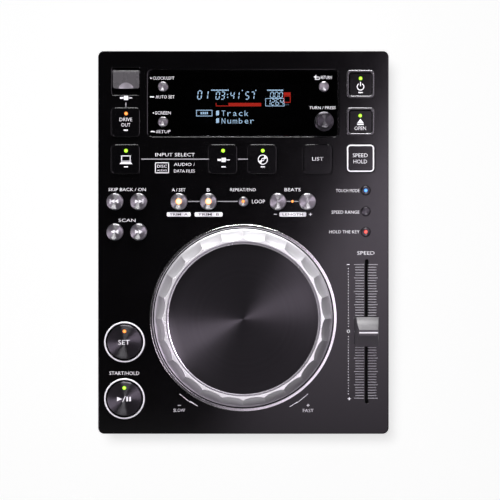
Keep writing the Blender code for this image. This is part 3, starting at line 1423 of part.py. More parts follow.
def drive_outline(inset, height):
    return rounded(
        DRIVE_WIDTH - 2 * inset, DRIVE_DEPTH - 2 * inset, DRIVE_CORNER - inset, height, centre=(0, DRIVE_Y, 0)
    )


def make_drive_chassis():
    chassis = make_piece(
        "drive_chassis",
        "steel",
        [
            capped(
                drive_outline(DRIVE_SHEET, DRIVE_FLOOR_Z + DRIVE_SHEET),
                drive_outline(DRIVE_SHEET, DRIVE_TOP_Z),
                drive_outline(0, DRIVE_TOP_Z),
                drive_outline(0, DRIVE_FLOOR_Z),
            )
        ],
    )
    root = DRIVE_FLOOR_Z + DRIVE_SHEET / 2
    parts = [turned([(MOTOR_RADIUS, root), (MOTOR_RADIUS, MOTOR_TOP_Z)], ROUND, centre=(0, JOG_Y, 0))]
    half_width, half_length, post_top = ROD_POST_WIDTH / 2, ROD_POST_LENGTH / 2, ROD_Z + ROD_POST_TOP
    for x in (-ROD_OFFSET, SCREW_OFFSET):
        for y in (ROD_START_Y, ROD_END_Y):
            low, high = (x - half_width, y - half_length, root), (x + half_width, y + half_length, post_top)
            parts.append(block(low, high))
    boolean(chassis, "UNION", "drive_additions", parts)
    rod = turned([(ROD_RADIUS, ROD_START_Y), (ROD_RADIUS, ROD_END_Y)], COARSE_ROUND, "Y", (-ROD_OFFSET, 0, ROD_Z))
    boolean(chassis, "UNION", "guide_rod", [rod])
    shaft_hole = TURNTABLE_SHAFT_RADIUS + FIT_GAP
    cuts = [
        turned(
            [(shaft_hole, MOTOR_TOP_Z - TURNTABLE_SHAFT_HOLD - FIT_GAP), (shaft_hole, MOTOR_TOP_Z + OVERRUN)],
            COARSE_ROUND,
            centre=(0, JOG_Y, 0),
        ),
        block(
            (-SLOT_WIDTH / 2, DRIVE_Y - DRIVE_DEPTH / 2 - OVERRUN, SLOT_Z - SLOT_HEIGHT / 2),
            (SLOT_WIDTH / 2, DRIVE_Y - DRIVE_DEPTH / 2 + DRIVE_SHEET + EMBED, SLOT_Z + SLOT_HEIGHT / 2),
        ),
    ]
    screw_hole = LEAD_SCREW_RADIUS + FIT_GAP
    ends = (ROD_START_Y - half_length - OVERRUN, ROD_END_Y + half_length + OVERRUN)
    cuts.append(turned([(screw_hole, y) for y in ends], COARSE_ROUND, "Y", (SCREW_OFFSET, 0, ROD_Z)))
    roller_hole = ROLLER_SHAFT_RADIUS + FIT_GAP
    cuts.append(
        turned(
            [(roller_hole, -DRIVE_WIDTH / 2 - OVERRUN), (roller_hole, DRIVE_WIDTH / 2 + OVERRUN)],
            COARSE_ROUND,
            "X",
            (0, FRONT + ROLLER_FROM_FRONT, roller_z()),
        )
    )
    boolean(chassis, "DIFFERENCE", "drive_cuts", cuts)


def roller_z():
    """The height of the loading roller's axis, just under the disc."""
    return DISC_Z - ROLLER_RADIUS - FIT_GAP


def make_drive_movers():
    table_top = DISC_Z - TURNTABLE_DROP
    profile = [
        (TURNTABLE_SHAFT_RADIUS, MOTOR_TOP_Z - TURNTABLE_SHAFT_HOLD),
        (TURNTABLE_SHAFT_RADIUS, table_top - TURNTABLE_SHEET),
        (TURNTABLE_RADIUS, table_top - TURNTABLE_SHEET),
        (TURNTABLE_RADIUS, table_top),
        (TURNTABLE_HUB_RADIUS, table_top),
        (TURNTABLE_HUB_RADIUS * 0.8, table_top + TURNTABLE_HUB_RISE),
    ]
    make_piece("disc_turntable", "black_plastic", [turned(profile)], place=(0, JOG_Y, 0))

    sled_low = ROD_START_Y + SLED_START
    left, right = -ROD_OFFSET - SLED_MARGIN, SCREW_OFFSET + SLED_MARGIN
    sled = make_piece(
        "pickup_sled",
        "black_steel",
        [block((left, sled_low, ROD_Z - SLED_HEIGHT / 2), (right, sled_low + SLED_LENGTH, ROD_Z + SLED_HEIGHT / 2))],
    )
    lens = (0, sled_low + SLED_LENGTH / 2, 0)
    top = ROD_Z + SLED_HEIGHT / 2
    boolean(
        sled,
        "UNION",
        "pickup_lens",
        [turned([(LENS_RADIUS, top - EMBED), (LENS_RADIUS, top + LENS_RISE)], COARSE_ROUND, centre=lens)],
    )
    bores = []
    for x, radius in ((-ROD_OFFSET, ROD_RADIUS + FIT_GAP), (SCREW_OFFSET, LEAD_SCREW_RADIUS + FIT_GAP)):
        profile = [(radius, sled_low - OVERRUN), (radius, sled_low + SLED_LENGTH + OVERRUN)]
        bores.append(turned(profile, COARSE_ROUND, "Y", (x, 0, ROD_Z)))
    boolean(sled, "DIFFERENCE", "sled_bores", bores)

    start, end = ROD_START_Y - ROD_POST_LENGTH / 2, ROD_END_Y + ROD_POST_LENGTH / 2
    gear_end = start - FIT_GAP
    profile = [
        (LEAD_GEAR_RADIUS, gear_end - LEAD_GEAR_LENGTH),
        (LEAD_GEAR_RADIUS, gear_end),
        (LEAD_SCREW_RADIUS, gear_end),
        (LEAD_SCREW_RADIUS, end),
    ]
    place = (SCREW_OFFSET, 0, ROD_Z)
    make_piece("lead_screw", "brass", [turned(profile, COARSE_ROUND, "Y")], place=place)

    half, tip = ROLLER_LENGTH / 2, DRIVE_WIDTH / 2
    profile = [
        (ROLLER_SHAFT_RADIUS, -tip),
        (ROLLER_SHAFT_RADIUS, -half),
        (ROLLER_RADIUS, -half),
        (ROLLER_RADIUS - ROLLER_WAIST, 0),
        (ROLLER_RADIUS, half),
        (ROLLER_SHAFT_RADIUS, half),
        (ROLLER_SHAFT_RADIUS, tip),
    ]
    place = (0, FRONT + ROLLER_FROM_FRONT, roller_z())
    make_piece("loading_roller", "rubber", [turned(profile, COARSE_ROUND, "X")], place=place)


for old in list(bpy.data.objects):
    bpy.data.objects.remove(old)
finishes = {name: make_finish(name) for name in FINISHES}

panel_keys = key_table()
make_top_case(panel_keys)
make_bottom_case()
make_feet()
make_mains_inlet()
make_audio_sockets()
make_computer_socket()
make_jog()
make_keys(panel_keys)
make_key_board(panel_keys)
make_display(panel_keys)
make_select_knob()
make_fader()
make_usb_flap()
make_usb_socket()
make_rear_boards()
make_slot_felt()
make_drive_chassis()
make_drive_movers()
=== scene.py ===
"""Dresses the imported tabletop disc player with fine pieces, print, glowing figures, lamps and a camera.

Metres, +Z up. X runs to the player's right and Y to its rear.
"""

import json
import math

import bmesh
import bpy
from mathutils import Matrix, Vector


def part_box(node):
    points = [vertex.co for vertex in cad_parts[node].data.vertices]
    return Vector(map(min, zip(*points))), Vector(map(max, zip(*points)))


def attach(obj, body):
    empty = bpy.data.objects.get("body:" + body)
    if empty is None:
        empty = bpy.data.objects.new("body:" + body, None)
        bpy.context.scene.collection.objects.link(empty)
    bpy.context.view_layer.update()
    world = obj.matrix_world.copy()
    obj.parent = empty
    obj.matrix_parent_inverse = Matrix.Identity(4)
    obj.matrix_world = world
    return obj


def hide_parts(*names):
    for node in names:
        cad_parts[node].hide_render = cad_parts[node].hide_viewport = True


bl_info = {
    "name": "Disc player finishes",
    "version": (1, 0, 0),
    "blender": (4, 5, 0),
    "location": "View3D > Sidebar > Disc Player",
    "description": "Dresses the packed disc player with fine pieces, print, lamps and a camera",
    "category": "Object",
}

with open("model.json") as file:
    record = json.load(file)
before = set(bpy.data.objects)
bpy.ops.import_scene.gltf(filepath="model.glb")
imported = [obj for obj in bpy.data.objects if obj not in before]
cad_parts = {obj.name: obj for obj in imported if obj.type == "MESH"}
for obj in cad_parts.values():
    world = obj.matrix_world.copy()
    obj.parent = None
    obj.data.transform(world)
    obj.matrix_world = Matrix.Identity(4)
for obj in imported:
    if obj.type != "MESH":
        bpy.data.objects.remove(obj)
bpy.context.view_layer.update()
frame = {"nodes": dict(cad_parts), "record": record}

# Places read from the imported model
PANEL_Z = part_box("display_window")[1].z
CASE_LOW, CASE_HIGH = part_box("top_case")
LEFT, RIGHT, FRONT, REAR = CASE_LOW.x, CASE_HIGH.x, CASE_LOW.y, CASE_HIGH.y
MIDDLE_Y = (FRONT + REAR) / 2

# The picture's scale on the panel, and where the case's middle and rear edge fall in it
PIXEL = 0.0007514
PICTURE_MIDDLE_X = 243.4
PICTURE_REAR_Y = 50.7

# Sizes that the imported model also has
WALL = 0.0025
PARTING_Z = 0.036
FIT_GAP = 0.0003
KEY_GAP = 0.00035
KEY_FLANGE_MARGIN = 0.0012
KEY_FLANGE = 0.0014
OVERRUN = 0.002
GUARD_SIDE = 0.0212
GUARD_CORNER = 0.003
GUARD_RISE = 0.0018
GUARD_TOP = PANEL_Z + GUARD_RISE
WINDOW_CORNER = 0.003
BACKING = 0.0039
WELL_RADIUS = 0.0678
WELL_FLOOR = 0.0025
WELL_FLOOR_Z = PANEL_Z - 0.012
SLOT_WIDTH = 0.126
SLOT_HEIGHT = 0.0052
SLOT_Z = 0.052
POCKET_MIDDLE = Vector((-0.08825, 0.11675, 0))
POCKET_SIZE = (0.0212, 0.0206)
POCKET_CORNER = 0.0012
POCKET_WALL = 0.0012
POCKET_FLOOR_Z = PANEL_Z - 0.012
PORT_HALF = (0.00705, 0.00335)
KNOB_HOLE = 0.00325
VIEW_SIZE = (0.088, 0.032)
FADER_SLOT = (0.0024, 0.108)

# Heights that cutters reach to, the radius of a closed tip and the gap that is welded shut
ABOVE = GUARD_TOP + OVERRUN
BELOW = PANEL_Z - BACKING - OVERRUN
TINY = 0.00002
WELD = 0.0000005

# How far the letters' outlines are moved, by their ink
DARK_SPREAD = 0.004
LIGHT_SPREAD = -0.005

SQUARE_KEYS = (
    "usb_stop_button",
    "source_computer_button",
    "source_usb_button",
    "source_disc_button",
    "playlist_button",
    "tempo_lock_button",
)
GUARDED_KEYS = ("power_button", "eject_button")
ROUND_KEYS = (
    "track_back_button",
    "track_forward_button",
    "search_back_button",
    "search_forward_button",
    "loop_in_button",
    "loop_out_button",
    "loop_exit_button",
    "loop_halve_button",
    "loop_double_button",
)
MODE_KEYS = ("touch_mode_button", "tempo_range_button", "key_hold_button")
WINDOW_KEYS = ("time_mode_button", "display_mode_button", "back_button")
START_KEYS = ("cue_button", "play_button")


def middle(node):
    low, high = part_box(node)
    return (low + high) / 2


def ground(node):
    """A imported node's middle, brought down to the ground."""
    mid = middle(node)
    return Vector((mid.x, mid.y, 0))


def half_width(node):
    low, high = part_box(node)
    return (high.x - low.x) / 2


def off_axis(point, centre):
    return math.hypot(point.x - centre.x, point.y - centre.y)


def spot(x, y):
    """The place on the panel that a picture pixel shows."""
    return (x - PICTURE_MIDDLE_X) * PIXEL, REAR - (y - PICTURE_REAR_Y) * PIXEL


BODY_OF = {node: body for body, nodes in frame["record"]["behaviour"]["bodies"].items() for node in nodes}


# What a user may change


def length(name, text, default, **more):
    return bpy.props.FloatProperty(name=name, description=text, default=default, unit="LENGTH", precision=5, **more)


def number(name, text, default, **more):
    return bpy.props.FloatProperty(name=name, description=text, default=default, **more)


def colour(name, text, default):
    return bpy.props.FloatVectorProperty(
        name=name, description=text, default=default, subtype="COLOR", size=3, min=0, max=1
    )


class CaseSettings(bpy.types.PropertyGroup):
    """Sizes and colours of the case, its window, its flap and its feet."""

    corner: length("Corner", "Radius of the case's upright corners", 0.0046)
    edge: length("Edge", "Radius of the edge round the panel", 0.0008)
    hole_edge: length("Hole edge", "Radius of the edge round each hole in the panel", 0.0003)
    window_edge: length("Window edge", "Radius of the edge round the window", 0.0007)
    guard_edge: length("Guard edge", "Radius of the raised guards' edges", 0.00095)
    plastic: colour("Plastic", "Colour of the moulded case", (0.0011, 0.001, 0.0012))
    plastic_roughness: number("Plastic roughness", "How satin the case is", 0.155, min=0, max=1)
    guard: colour("Guard", "Colour of the raised guards", (0.13, 0.127, 0.133))
    flap_plastic: colour("Flap", "Colour of the dust flap", (0.075, 0.072, 0.076))
    acrylic: colour("Acrylic", "Tint of the display window", (0.12, 0.12, 0.13))
    sheet: colour("Sheet steel", "Colour of the painted base", (0.012, 0.012, 0.013))
    rubber: colour("Rubber", "Colour of the feet", (0.012, 0.012, 0.012))


class JogSettings(bpy.types.PropertyGroup):
    """Sizes and colours of the jog wheel and its trim."""

    flutes: bpy.props.IntProperty(name="Flutes", description="Scoops round the wheel", default=24, min=3)
    flute_steps: bpy.props.IntProperty(name="Flute steps", description="Faces across a scoop", default=14, min=2)
    crown_depth: length("Crown depth", "Depth of a scoop at the wheel's top", 0.0018)
    middle_depth: length("Middle depth", "Depth of a scoop half way down", 0.0012)
    foot_depth: length("Foot depth", "Depth of a scoop at the wheel's foot", 0.0005)
    rise: length("Rise", "How far the top plate rises to its middle", 0.0016)
    silver: colour("Silver", "Colour of the fluted wheel", (0.56, 0.55, 0.575))
    trim: colour("Trim", "Colour of the plated ring", (0.96, 0.97, 0.96))
    disc: colour("Disc", "Colour of the spun top plate", (0.042, 0.041, 0.043))
    disc_turn: number("Disc turn", "Spread of the top plate's spun grooves", 0.9, min=0, max=1)


class KeySettings(bpy.types.PropertyGroup):
    """Sizes and colours of the keys, the knob and the fader."""

    edge: length("Edge", "Radius of a key's edge", 0.0005)
    square_corner: length("Square corner", "Corner of the large square keys", 0.0032)
    guarded_corner: length("Guarded corner", "Corner of the two guarded keys", 0.0018)
    dish: length("Dish", "Hollow of the round metal keys", 0.0004)
    plastic: colour("Plastic", "Colour of the moulded keys", (0.0013, 0.0012, 0.0015))
    spun: colour("Spun metal", "Colour of the round metal keys", (0.5, 0.49, 0.51))
    dark_spun: colour("Dark spun metal", "Colour of the start keys and the knob", (0.11, 0.105, 0.115))
    ring: colour("Ring", "Colour of the trim round the start keys", (0.8, 0.8, 0.82))


class PrintSettings(bpy.types.PropertyGroup):
    """The printed words and signs, and what glows."""

    thickness: length("Thickness", "How thick the ink lies", 0.00004)
    ink: colour("Ink", "Colour of the printed words", (0.88, 0.88, 0.9))
    dark_ink: colour("Dark ink", "Colour of the words on light patches", (0.01, 0.01, 0.012))
    tick_ink: colour("Tick ink", "Colour of the fader's scale and the lines between keys", (0.3, 0.295, 0.31))
    green: colour("Green", "Glow of the green lamps", (0.42, 1.0, 0.01))
    orange: colour("Orange", "Glow of the orange lamps", (1.0, 0.26, 0.02))
    red: colour("Red", "Glow of the red lamps", (1.0, 0.05, 0.03))
    blue: colour("Blue", "Glow of the blue lamp", (0.05, 0.3, 1.0))
    figures: colour("Figures", "Glow of the display's figures", (0.55, 0.8, 1.0))
    glow: number("Glow", "Strength of the indicator lamps", 1.6, min=0)
    figure_glow: number("Figure glow", "Strength of the display's figures", 19.0, min=0)


class StageSettings(bpy.types.PropertyGroup):
    """The camera, the lamps and the floor."""

    camera_x: length("Camera X", "Camera's place to the right of the middle", 0.00496)
    camera_y: length("Camera Y", "Camera's place behind the origin", -0.01)
    distance: length("Distance", "Camera's height over the panel", 0.95)
    view: length("View", "Width of the panel's plane in the picture", 0.3757)
    box_power: number("Softbox", "Watts of the large softbox above, at the right", 12.0, min=0)
    top_power: number("Top lamp", "Watts of the small lamp above, which casts the shadow", 4.7, min=0)
    rear_power: number("Rear lamp", "Watts of the low lamp behind", 34.0, min=0)
    fill_power: number("Fill lamp", "Watts of the low lamp at the front left", 4.5, min=0)
    plate_power: number("Plate lamp", "Watts of the lamp that lights the wheel's top plate alone", 15.5, min=0)
    front_power: number("Front panel", "Watts of the faint panel above the front", 0.75, min=0)
    sky: number("Sky", "Light from the horizon", 0.3, min=0)
    floor: number("Floor", "Share of the floor's white that lies in shadow too", 0.735, min=0, max=1)


SETTINGS = {
    "player_case": CaseSettings,
    "player_jog": JogSettings,
    "player_keys": KeySettings,
    "player_print": PrintSettings,
    "player_stage": StageSettings,
}


# Node trees


def feed(tree, node, inputs):
    """Sets inputs of a node, each from a plain value, a socket or the first output of a node."""
    for key, value in inputs.items():
        if isinstance(value, bpy.types.Node):
            value = value.outputs[0]
        if isinstance(value, bpy.types.NodeSocket):
            tree.links.new(value, node.inputs[key])
        else:
            node.inputs[key].default_value = value
    return node


def add_node(tree, kind, inputs=None, **settings):
    node = tree.nodes.new(kind)
    for name, value in settings.items():
        setattr(node, name, value)
    return feed(tree, node, inputs or {})


def new_group(name, kind, inputs, outputs):
    """A node group with named sockets: its tree, its inputs by name and its output node."""
    tree = bpy.data.node_groups.new(name, kind)
    for label, socket, default in inputs:
        item = tree.interface.new_socket(label, in_out="INPUT", socket_type=socket)
        if default is not None:
            item.default_value = default
    for label, socket in outputs:
        tree.interface.new_socket(label, in_out="OUTPUT", socket_type=socket)
    return tree, tree.nodes.new("NodeGroupInput").outputs, tree.nodes.new("NodeGroupOutput")


def math_node(tree, operation, first, second=0.0):
    return add_node(tree, "ShaderNodeMath", {0: first, 1: second}, operation=operation)


def vector_node(tree, operation, first, second=(0, 0, 0)):
    return add_node(tree, "ShaderNodeVectorMath", {0: first, 1: second}, operation=operation)


def noise_node(tree, vector, scale, detail, **more):
    return add_node(tree, "ShaderNodeTexNoise", {"Vector": vector, "Scale": scale, "Detail": detail, **more})


def streak_node(tree, place, detail):
    """Noise along a line."""
    inputs = {"W": place, "Scale": 1.0, "Detail": detail}
    return add_node(tree, "ShaderNodeTexNoise", inputs, noise_dimensions="1D")


def range_node(tree, value, before, after):
    """A value moved from one range to another."""
    names = ("Value", "From Min", "From Max", "To Min", "To Max")
    return add_node(tree, "ShaderNodeMapRange", dict(zip(names, (value, *before, *after))))


def blend_node(tree, factor, first, second):
    return add_node(tree, "ShaderNodeMix", {0: factor, 6: first, 7: second}, data_type="RGBA").outputs[2]


def bump_node(tree, strength, depth, height, **more):
    return add_node(tree, "ShaderNodeBump", {"Strength": strength, "Distance": depth, "Height": height, **more})


def object_place(tree):
    return add_node(tree, "ShaderNodeTexCoord").outputs["Object"]


def spin_offset(tree):
    """The offset from the axis that mark_spin stored."""
    return add_node(tree, "ShaderNodeAttribute", attribute_name="spin").outputs["Vector"]


def axis_distance(tree, offset):
    flat = vector_node(tree, "MULTIPLY", offset, (1, 1, 0))
    return vector_node(tree, "LENGTH", flat).outputs["Value"]


def grain_group():
    """Fine moulded grain: a height, and a tone that drifts slowly."""
    tree, given, made = new_group(
        "Moulded grain",
        "ShaderNodeTree",
        [
            ("Vector", "NodeSocketVector", None),
            ("Scale", "NodeSocketFloat", 2400.0),
            ("Drift", "NodeSocketFloat", 30.0),
        ],
        [("Height", "NodeSocketFloat"), ("Tone", "NodeSocketFloat")],
    )
    fine_share = 0.6
    fine = noise_node(tree, given["Vector"], given["Scale"], 2.0)
    slow = noise_node(tree, given["Vector"], given["Drift"], 4.0)
    drift = math_node(tree, "MULTIPLY", slow, 1 - fine_share)
    tone = math_node(tree, "ADD", math_node(tree, "MULTIPLY", fine, fine_share), drift)
    feed(tree, made, {"Height": fine, "Tone": tone})
    return tree


def handling_group():
    """Where hands and dust have dulled a surface."""
    tree, given, made = new_group(
        "Handling marks",
        "ShaderNodeTree",
        [
            ("Vector", "NodeSocketVector", None),
            ("Scale", "NodeSocketFloat", 45.0),
            ("Amount", "NodeSocketFloat", 0.5),
        ],
        [("Mask", "NodeSocketFloat")],
    )
    noise = noise_node(tree, given["Vector"], given["Scale"], 6.0, Roughness=0.65)
    spread = range_node(tree, noise, (0.35, 0.7), (0.0, 1.0))
    feed(tree, made, {"Mask": math_node(tree, "MULTIPLY", spread, given["Amount"])})
    return tree


def groove_group():
    """Grooves left by turning: a height and a streak that change with the distance from the axis."""
    tree, given, made = new_group(
        "Spun grooves",
        "ShaderNodeTree",
        [("Offset", "NodeSocketVector", None), ("Density", "NodeSocketFloat", 5200.0)],
        [("Height", "NodeSocketFloat"), ("Streak", "NodeSocketFloat")],
    )
    streak_share = 0.13
    places = math_node(tree, "MULTIPLY", axis_distance(tree, given["Offset"]), given["Density"])
    broad = math_node(tree, "MULTIPLY", places, streak_share)
    feed(tree, made, {"Height": streak_node(tree, places, 3.0), "Streak": streak_node(tree, broad, 4.0)})
    return tree


def edge_sheen_and_wear_group():
    """Edges painted a little lighter, partly a painted edge highlight and partly rubbed wear, read from how a
    softened normal departs from the true one.
    """
    tree, given, made = new_group(
        "Rubbed edges",
        "ShaderNodeTree",
        [
            ("Vector", "NodeSocketVector", None),
            ("Radius", "NodeSocketFloat", 0.0003),
            ("Amount", "NodeSocketFloat", 1.0),
        ],
        [("Mask", "NodeSocketFloat")],
    )
    soft = add_node(tree, "ShaderNodeBevel", {"Radius": given["Radius"]}, samples=4)
    true = add_node(tree, "ShaderNodeNewGeometry").outputs["Normal"]
    match = vector_node(tree, "DOT_PRODUCT", soft, true).outputs["Value"]
    edge = range_node(tree, match, (0.99, 0.8), (0.0, 1.0))
    edge_sheen_and_wear_mask = math_node(tree, "MULTIPLY", edge, noise_node(tree, given["Vector"], 400.0, 5.0))
    feed(tree, made, {"Mask": math_node(tree, "MULTIPLY", edge_sheen_and_wear_mask, given["Amount"])})
    return tree


groups = {}
finishes = {}


def group(name):
    builders = {"grain": grain_group, "handling": handling_group, "grooves": groove_group, "wear": edge_sheen_and_wear_group}
    if name not in groups:
        groups[name] = builders[name]()
    return groups[name]


def use_group(tree, name, inputs):
    return add_node(tree, "ShaderNodeGroup", inputs, node_tree=group(name))


def tinted(shade, factor):
    return (*(min(1.0, channel * factor) for channel in shade), 1.0)


def new_finish(name, roughness, metallic, **constants):
    """A new material by its name, with its tree and its shader. The finishes keep it for later use."""
    finish = finishes[name] = bpy.data.materials.new(name)
    finish.use_nodes = True
    shader = finish.node_tree.nodes["Principled BSDF"]
    labels = {socket.replace("_", " ").title().replace("Ior", "IOR"): value for socket, value in constants.items()}
    feed(finish.node_tree, shader, {"Metallic": metallic, "Roughness": roughness, **labels})
    return finish, finish.node_tree, shader


def varied(tree, factor, shade, vary):
    return blend_node(tree, factor, tinted(shade, 1 - 2 * vary), tinted(shade, 1 + 2 * vary))


def handled_roughness(tree, place, low, high):
    handled = use_group(tree, "handling", {"Vector": place, "Amount": 1.0})
    return range_node(tree, handled, (0.0, 1.0), (low, high))


def moulded(
    name, shade, roughness, metallic=0.0, grain=2400.0, depth=0.00002, spread=0.06, wear=0.0, vary=0.12, **more
):
    """A moulded, painted or cast finish with grain, handling marks and, where asked, edges painted lighter: partly a
    painted edge highlight, partly rubbed wear.
    """
    if name in finishes:
        return finishes[name]
    finish, tree, shader = new_finish(name, roughness, metallic, **more)
    place = object_place(tree)
    grained = use_group(tree, "grain", {"Vector": place, "Scale": grain})
    tone = varied(tree, grained.outputs["Tone"], shade, vary)
    # Edges painted lighter: partly a painted edge highlight, partly rubbed wear.
    if wear:
        edge_sheen_and_wear_mask = use_group(tree, "wear", {"Vector": place, "Amount": wear})
        tone = blend_node(tree, edge_sheen_and_wear_mask, tone, tinted([0.02 + channel for channel in shade], 2.5))
    rough = handled_roughness(tree, place, roughness - spread, roughness + spread)
    bump = bump_node(tree, 0.5, depth, grained.outputs["Height"])
    feed(tree, shader, {"Base Color": tone, "Roughness": rough, "Normal": bump})
    return finish


def spun(name, shade, roughness, metallic=1.0, turn=0.75, density=5200.0, depth=0.000004, vary=0.1, sand=0, **more):
    """Metal turned on a lathe, whose grooves run round the axis stored with each point."""
    if name in finishes:
        return finishes[name]
    finish, tree, shader = new_finish(name, roughness, metallic, anisotropic=turn, **more)
    offset = spin_offset(tree)
    grooved = use_group(tree, "grooves", {"Offset": offset, "Density": density})
    tone = varied(tree, grooved.outputs["Streak"], shade, vary)
    place = object_place(tree)
    rough = handled_roughness(tree, place, roughness - 0.03, roughness + 0.05)
    bump = bump_node(tree, 0.6, depth, grooved.outputs["Height"])
    if sand:
        blasted = use_group(tree, "grain", {"Vector": place, "Scale": sand})
        bump = bump_node(tree, 0.6, depth * 9, blasted.outputs["Height"], Normal=bump)
    outward = vector_node(tree, "MULTIPLY", offset, (1, 1, 0))
    turned_to = {"vector_type": "VECTOR", "convert_from": "OBJECT", "convert_to": "WORLD"}
    heading = add_node(tree, "ShaderNodeVectorTransform", {"Vector": outward}, **turned_to)
    feed(tree, shader, {"Tangent": heading, "Base Color": tone, "Roughness": rough, "Normal": bump})
    return finish


def glowing(name, shade, strength, core=0.0002, rim=0.0015, hot=0.12):
    """A lamp's lens: brightest at its middle, and darker towards its rim."""
    if name in finishes:
        return finishes[name]
    finish, tree, shader = new_finish(name, 0.25, 0.0, emission_strength=strength)
    away = axis_distance(tree, spin_offset(tree))
    heat = range_node(tree, away, (core, rim), (1.0, 0.0))
    glow = blend_node(tree, heat, tinted(shade, 0.35), tinted([channel + hot for channel in shade], 1.0))
    feed(tree, shader, {"Base Color": tinted(shade, 0.3), "Emission Color": glow})
    return finish


def case_finish():
    case = bpy.context.scene.player_case
    fine = {"grain": 3200.0, "depth": 0.000004, "spread": 0.015, "wear": 0.2}
    return moulded("Satin black moulding", case.plastic, case.plastic_roughness, **fine)


def key_finish():
    fine = {"grain": 3600.0, "depth": 0.000005, "spread": 0.02, "wear": 0.2}
    return moulded("Key moulding", bpy.context.scene.player_keys.plastic, 0.18, **fine)


def socket_finish():
    return moulded("Socket moulding", (0.01, 0.01, 0.011), 0.45)


def ink_finish(kind):
    settings = bpy.context.scene.player_print
    shade = {"light": settings.ink, "dark": settings.dark_ink, "tick": settings.tick_ink}[kind]
    return moulded(f"Printed ink {kind}", shade, 0.5, grain=5000.0, depth=0.000004, vary=0.04)


# Shells lofted from rings of points


def placed(flat, along, axis, centre):
    order = {"X": lambda u, v: (along, u, v), "Y": lambda u, v: (u, along, v), "Z": lambda u, v: (u, v, along)}
    return [Vector(order[axis](u, v)) + Vector(centre) for u, v in flat]


def circle(radius, along, count, axis="Z", centre=(0, 0, 0)):
    turns = [math.tau * step / count for step in range(count)]
    return placed([(radius * math.cos(turn), radius * math.sin(turn)) for turn in turns], along, axis, centre)


def rounded(width, depth, corner, along, axis="Z", centre=(0, 0, 0), steps=8):
    points = []
    for quarter, (side, end) in enumerate(((1, 1), (-1, 1), (-1, -1), (1, -1))):
        for step in range(steps + 1):
            turn = (quarter + step / steps) * math.pi / 2
            u = side * (width / 2 - corner) + corner * math.cos(turn)
            points.append((u, end * (depth / 2 - corner) + corner * math.sin(turn)))
    return placed(points, along, axis, centre)


def fillet(edge, top, steps=4, rises=True):
    """(inset, height) pairs round an edge: from an upright side onto a top, or back down."""
    pairs = []
    for step in range(steps + 1):
        turn = step / steps * math.pi / 2
        pairs.append((edge * (1 - math.cos(turn)), top - edge + edge * math.sin(turn)))
    return pairs if rises else pairs[::-1]


def turned(profile, count=64, axis="Z", centre=(0, 0, 0), closed=False):
    return [circle(max(radius, TINY), along, count, axis, centre) for radius, along in profile], closed


def cylinder(radius, low, high, count, centre):
    return turned([(radius, low), (radius, high)], count, centre=centre)


def box_shell(low, high):
    low, high = Vector(low), Vector(high)
    mid, size = (low + high) / 2, high - low
    rings = []
    for z in (low.z, high.z):
        flat = [(side * size.x / 2, end * size.y / 2) for side, end in ((1, 1), (-1, 1), (-1, -1), (1, -1))]
        rings.append(placed(flat, z, "Z", (mid.x, mid.y, 0)))
    return rings, False


def prism(points, low, high):
    """An upright prism on a flat outline."""
    return [[Vector((x, y, z)) for x, y in points] for z in (low, high)], False


def build_mesh(name, shells, sharp=28):
    form = bmesh.new()
    for rings, closed in shells:
        loops = [[form.verts.new(point) for point in ring] for ring in rings]
        pairs = list(zip(loops, loops[1:]))
        if closed:
            pairs.append((loops[-1], loops[0]))
        else:
            form.faces.new(reversed(loops[0]))
            form.faces.new(loops[-1])
        for first, second in pairs:
            for step, corner in enumerate(first):
                after = (step + 1) % len(first)
                form.faces.new((corner, first[after], second[after], second[step]))
    bmesh.ops.recalc_face_normals(form, faces=form.faces)
    mesh = bpy.data.meshes.new(name)
    form.to_mesh(mesh)
    form.free()
    smooth(mesh, sharp)
    return mesh


def edit_mesh(mesh, change):
    """Changes a mesh by a function of its editable form."""
    form = bmesh.new()
    form.from_mesh(mesh)
    change(form)
    form.to_mesh(mesh)
    form.free()


def smooth(mesh, sharp=28):
    """Smooth shading, with creases at steep edges and round faces that are flat or large."""
    mesh.shade_smooth()
    mesh.set_sharp_from_angle(angle=math.radians(sharp))

    def crease(form):
        for face in form.faces:
            if face.normal.z > 0.99999 or (len(face.verts) > 4 and face.calc_area() > 0.000002):
                for edge in face.edges:
                    if edge.calc_face_angle(0) > 0.01:
                        edge.smooth = False

    edit_mesh(mesh, crease)


def sector_mesh(name, section, steps, sector, bite, closed):
    """A slice of a turned form. A row of the section is a radius, a height and a depth that bite eats away."""
    form = bmesh.new()
    columns = []
    for step in range(steps + 1):
        turn, share = sector * step / steps, bite(step / steps)
        column = []
        for radius, z, depth in section:
            here = max(radius - depth * share, TINY)
            column.append(form.verts.new((here * math.cos(turn), here * math.sin(turn), z)))
        columns.append(column)
    for first, second in zip(columns, columns[1:]):
        for row in range(len(section) if closed else len(section) - 1):
            after = (row + 1) % len(section)
            form.faces.new((first[row], first[after], second[after], second[row]))
    mesh = bpy.data.meshes.new(name)
    form.to_mesh(mesh)
    form.free()
    return mesh


def mark_spin(mesh, centre):
    """Stores each point's offset from an axis, which the spun finishes and the lamps read."""
    attribute = mesh.attributes.get("spin") or mesh.attributes.new("spin", "FLOAT_VECTOR", "POINT")
    axis = Vector(centre)
    for vertex, item in zip(mesh.vertices, attribute.data):
        item.vector = vertex.co - axis


def place_object(name, mesh):
    thing = bpy.data.objects.new(name, mesh)
    bpy.context.scene.collection.objects.link(thing)
    return thing


def settle(thing):
    """Makes the evaluated mesh the object's own and removes its modifiers."""
    view = bpy.context.evaluated_depsgraph_get()
    mesh = bpy.data.meshes.new_from_object(thing.evaluated_get(view))
    thing.modifiers.clear()
    old, thing.data = thing.data, mesh
    bpy.data.meshes.remove(old)
    return thing


def coat(mesh, finish, other=None, where=None):
    """Gives a mesh one finish, and where a rule picks faces, another one on those."""
    mesh.materials.clear()
    mesh.materials.append(finish)
    if other is not None:
        mesh.materials.append(other)
        for face in mesh.polygons:
            face.material_index = int(where(face))


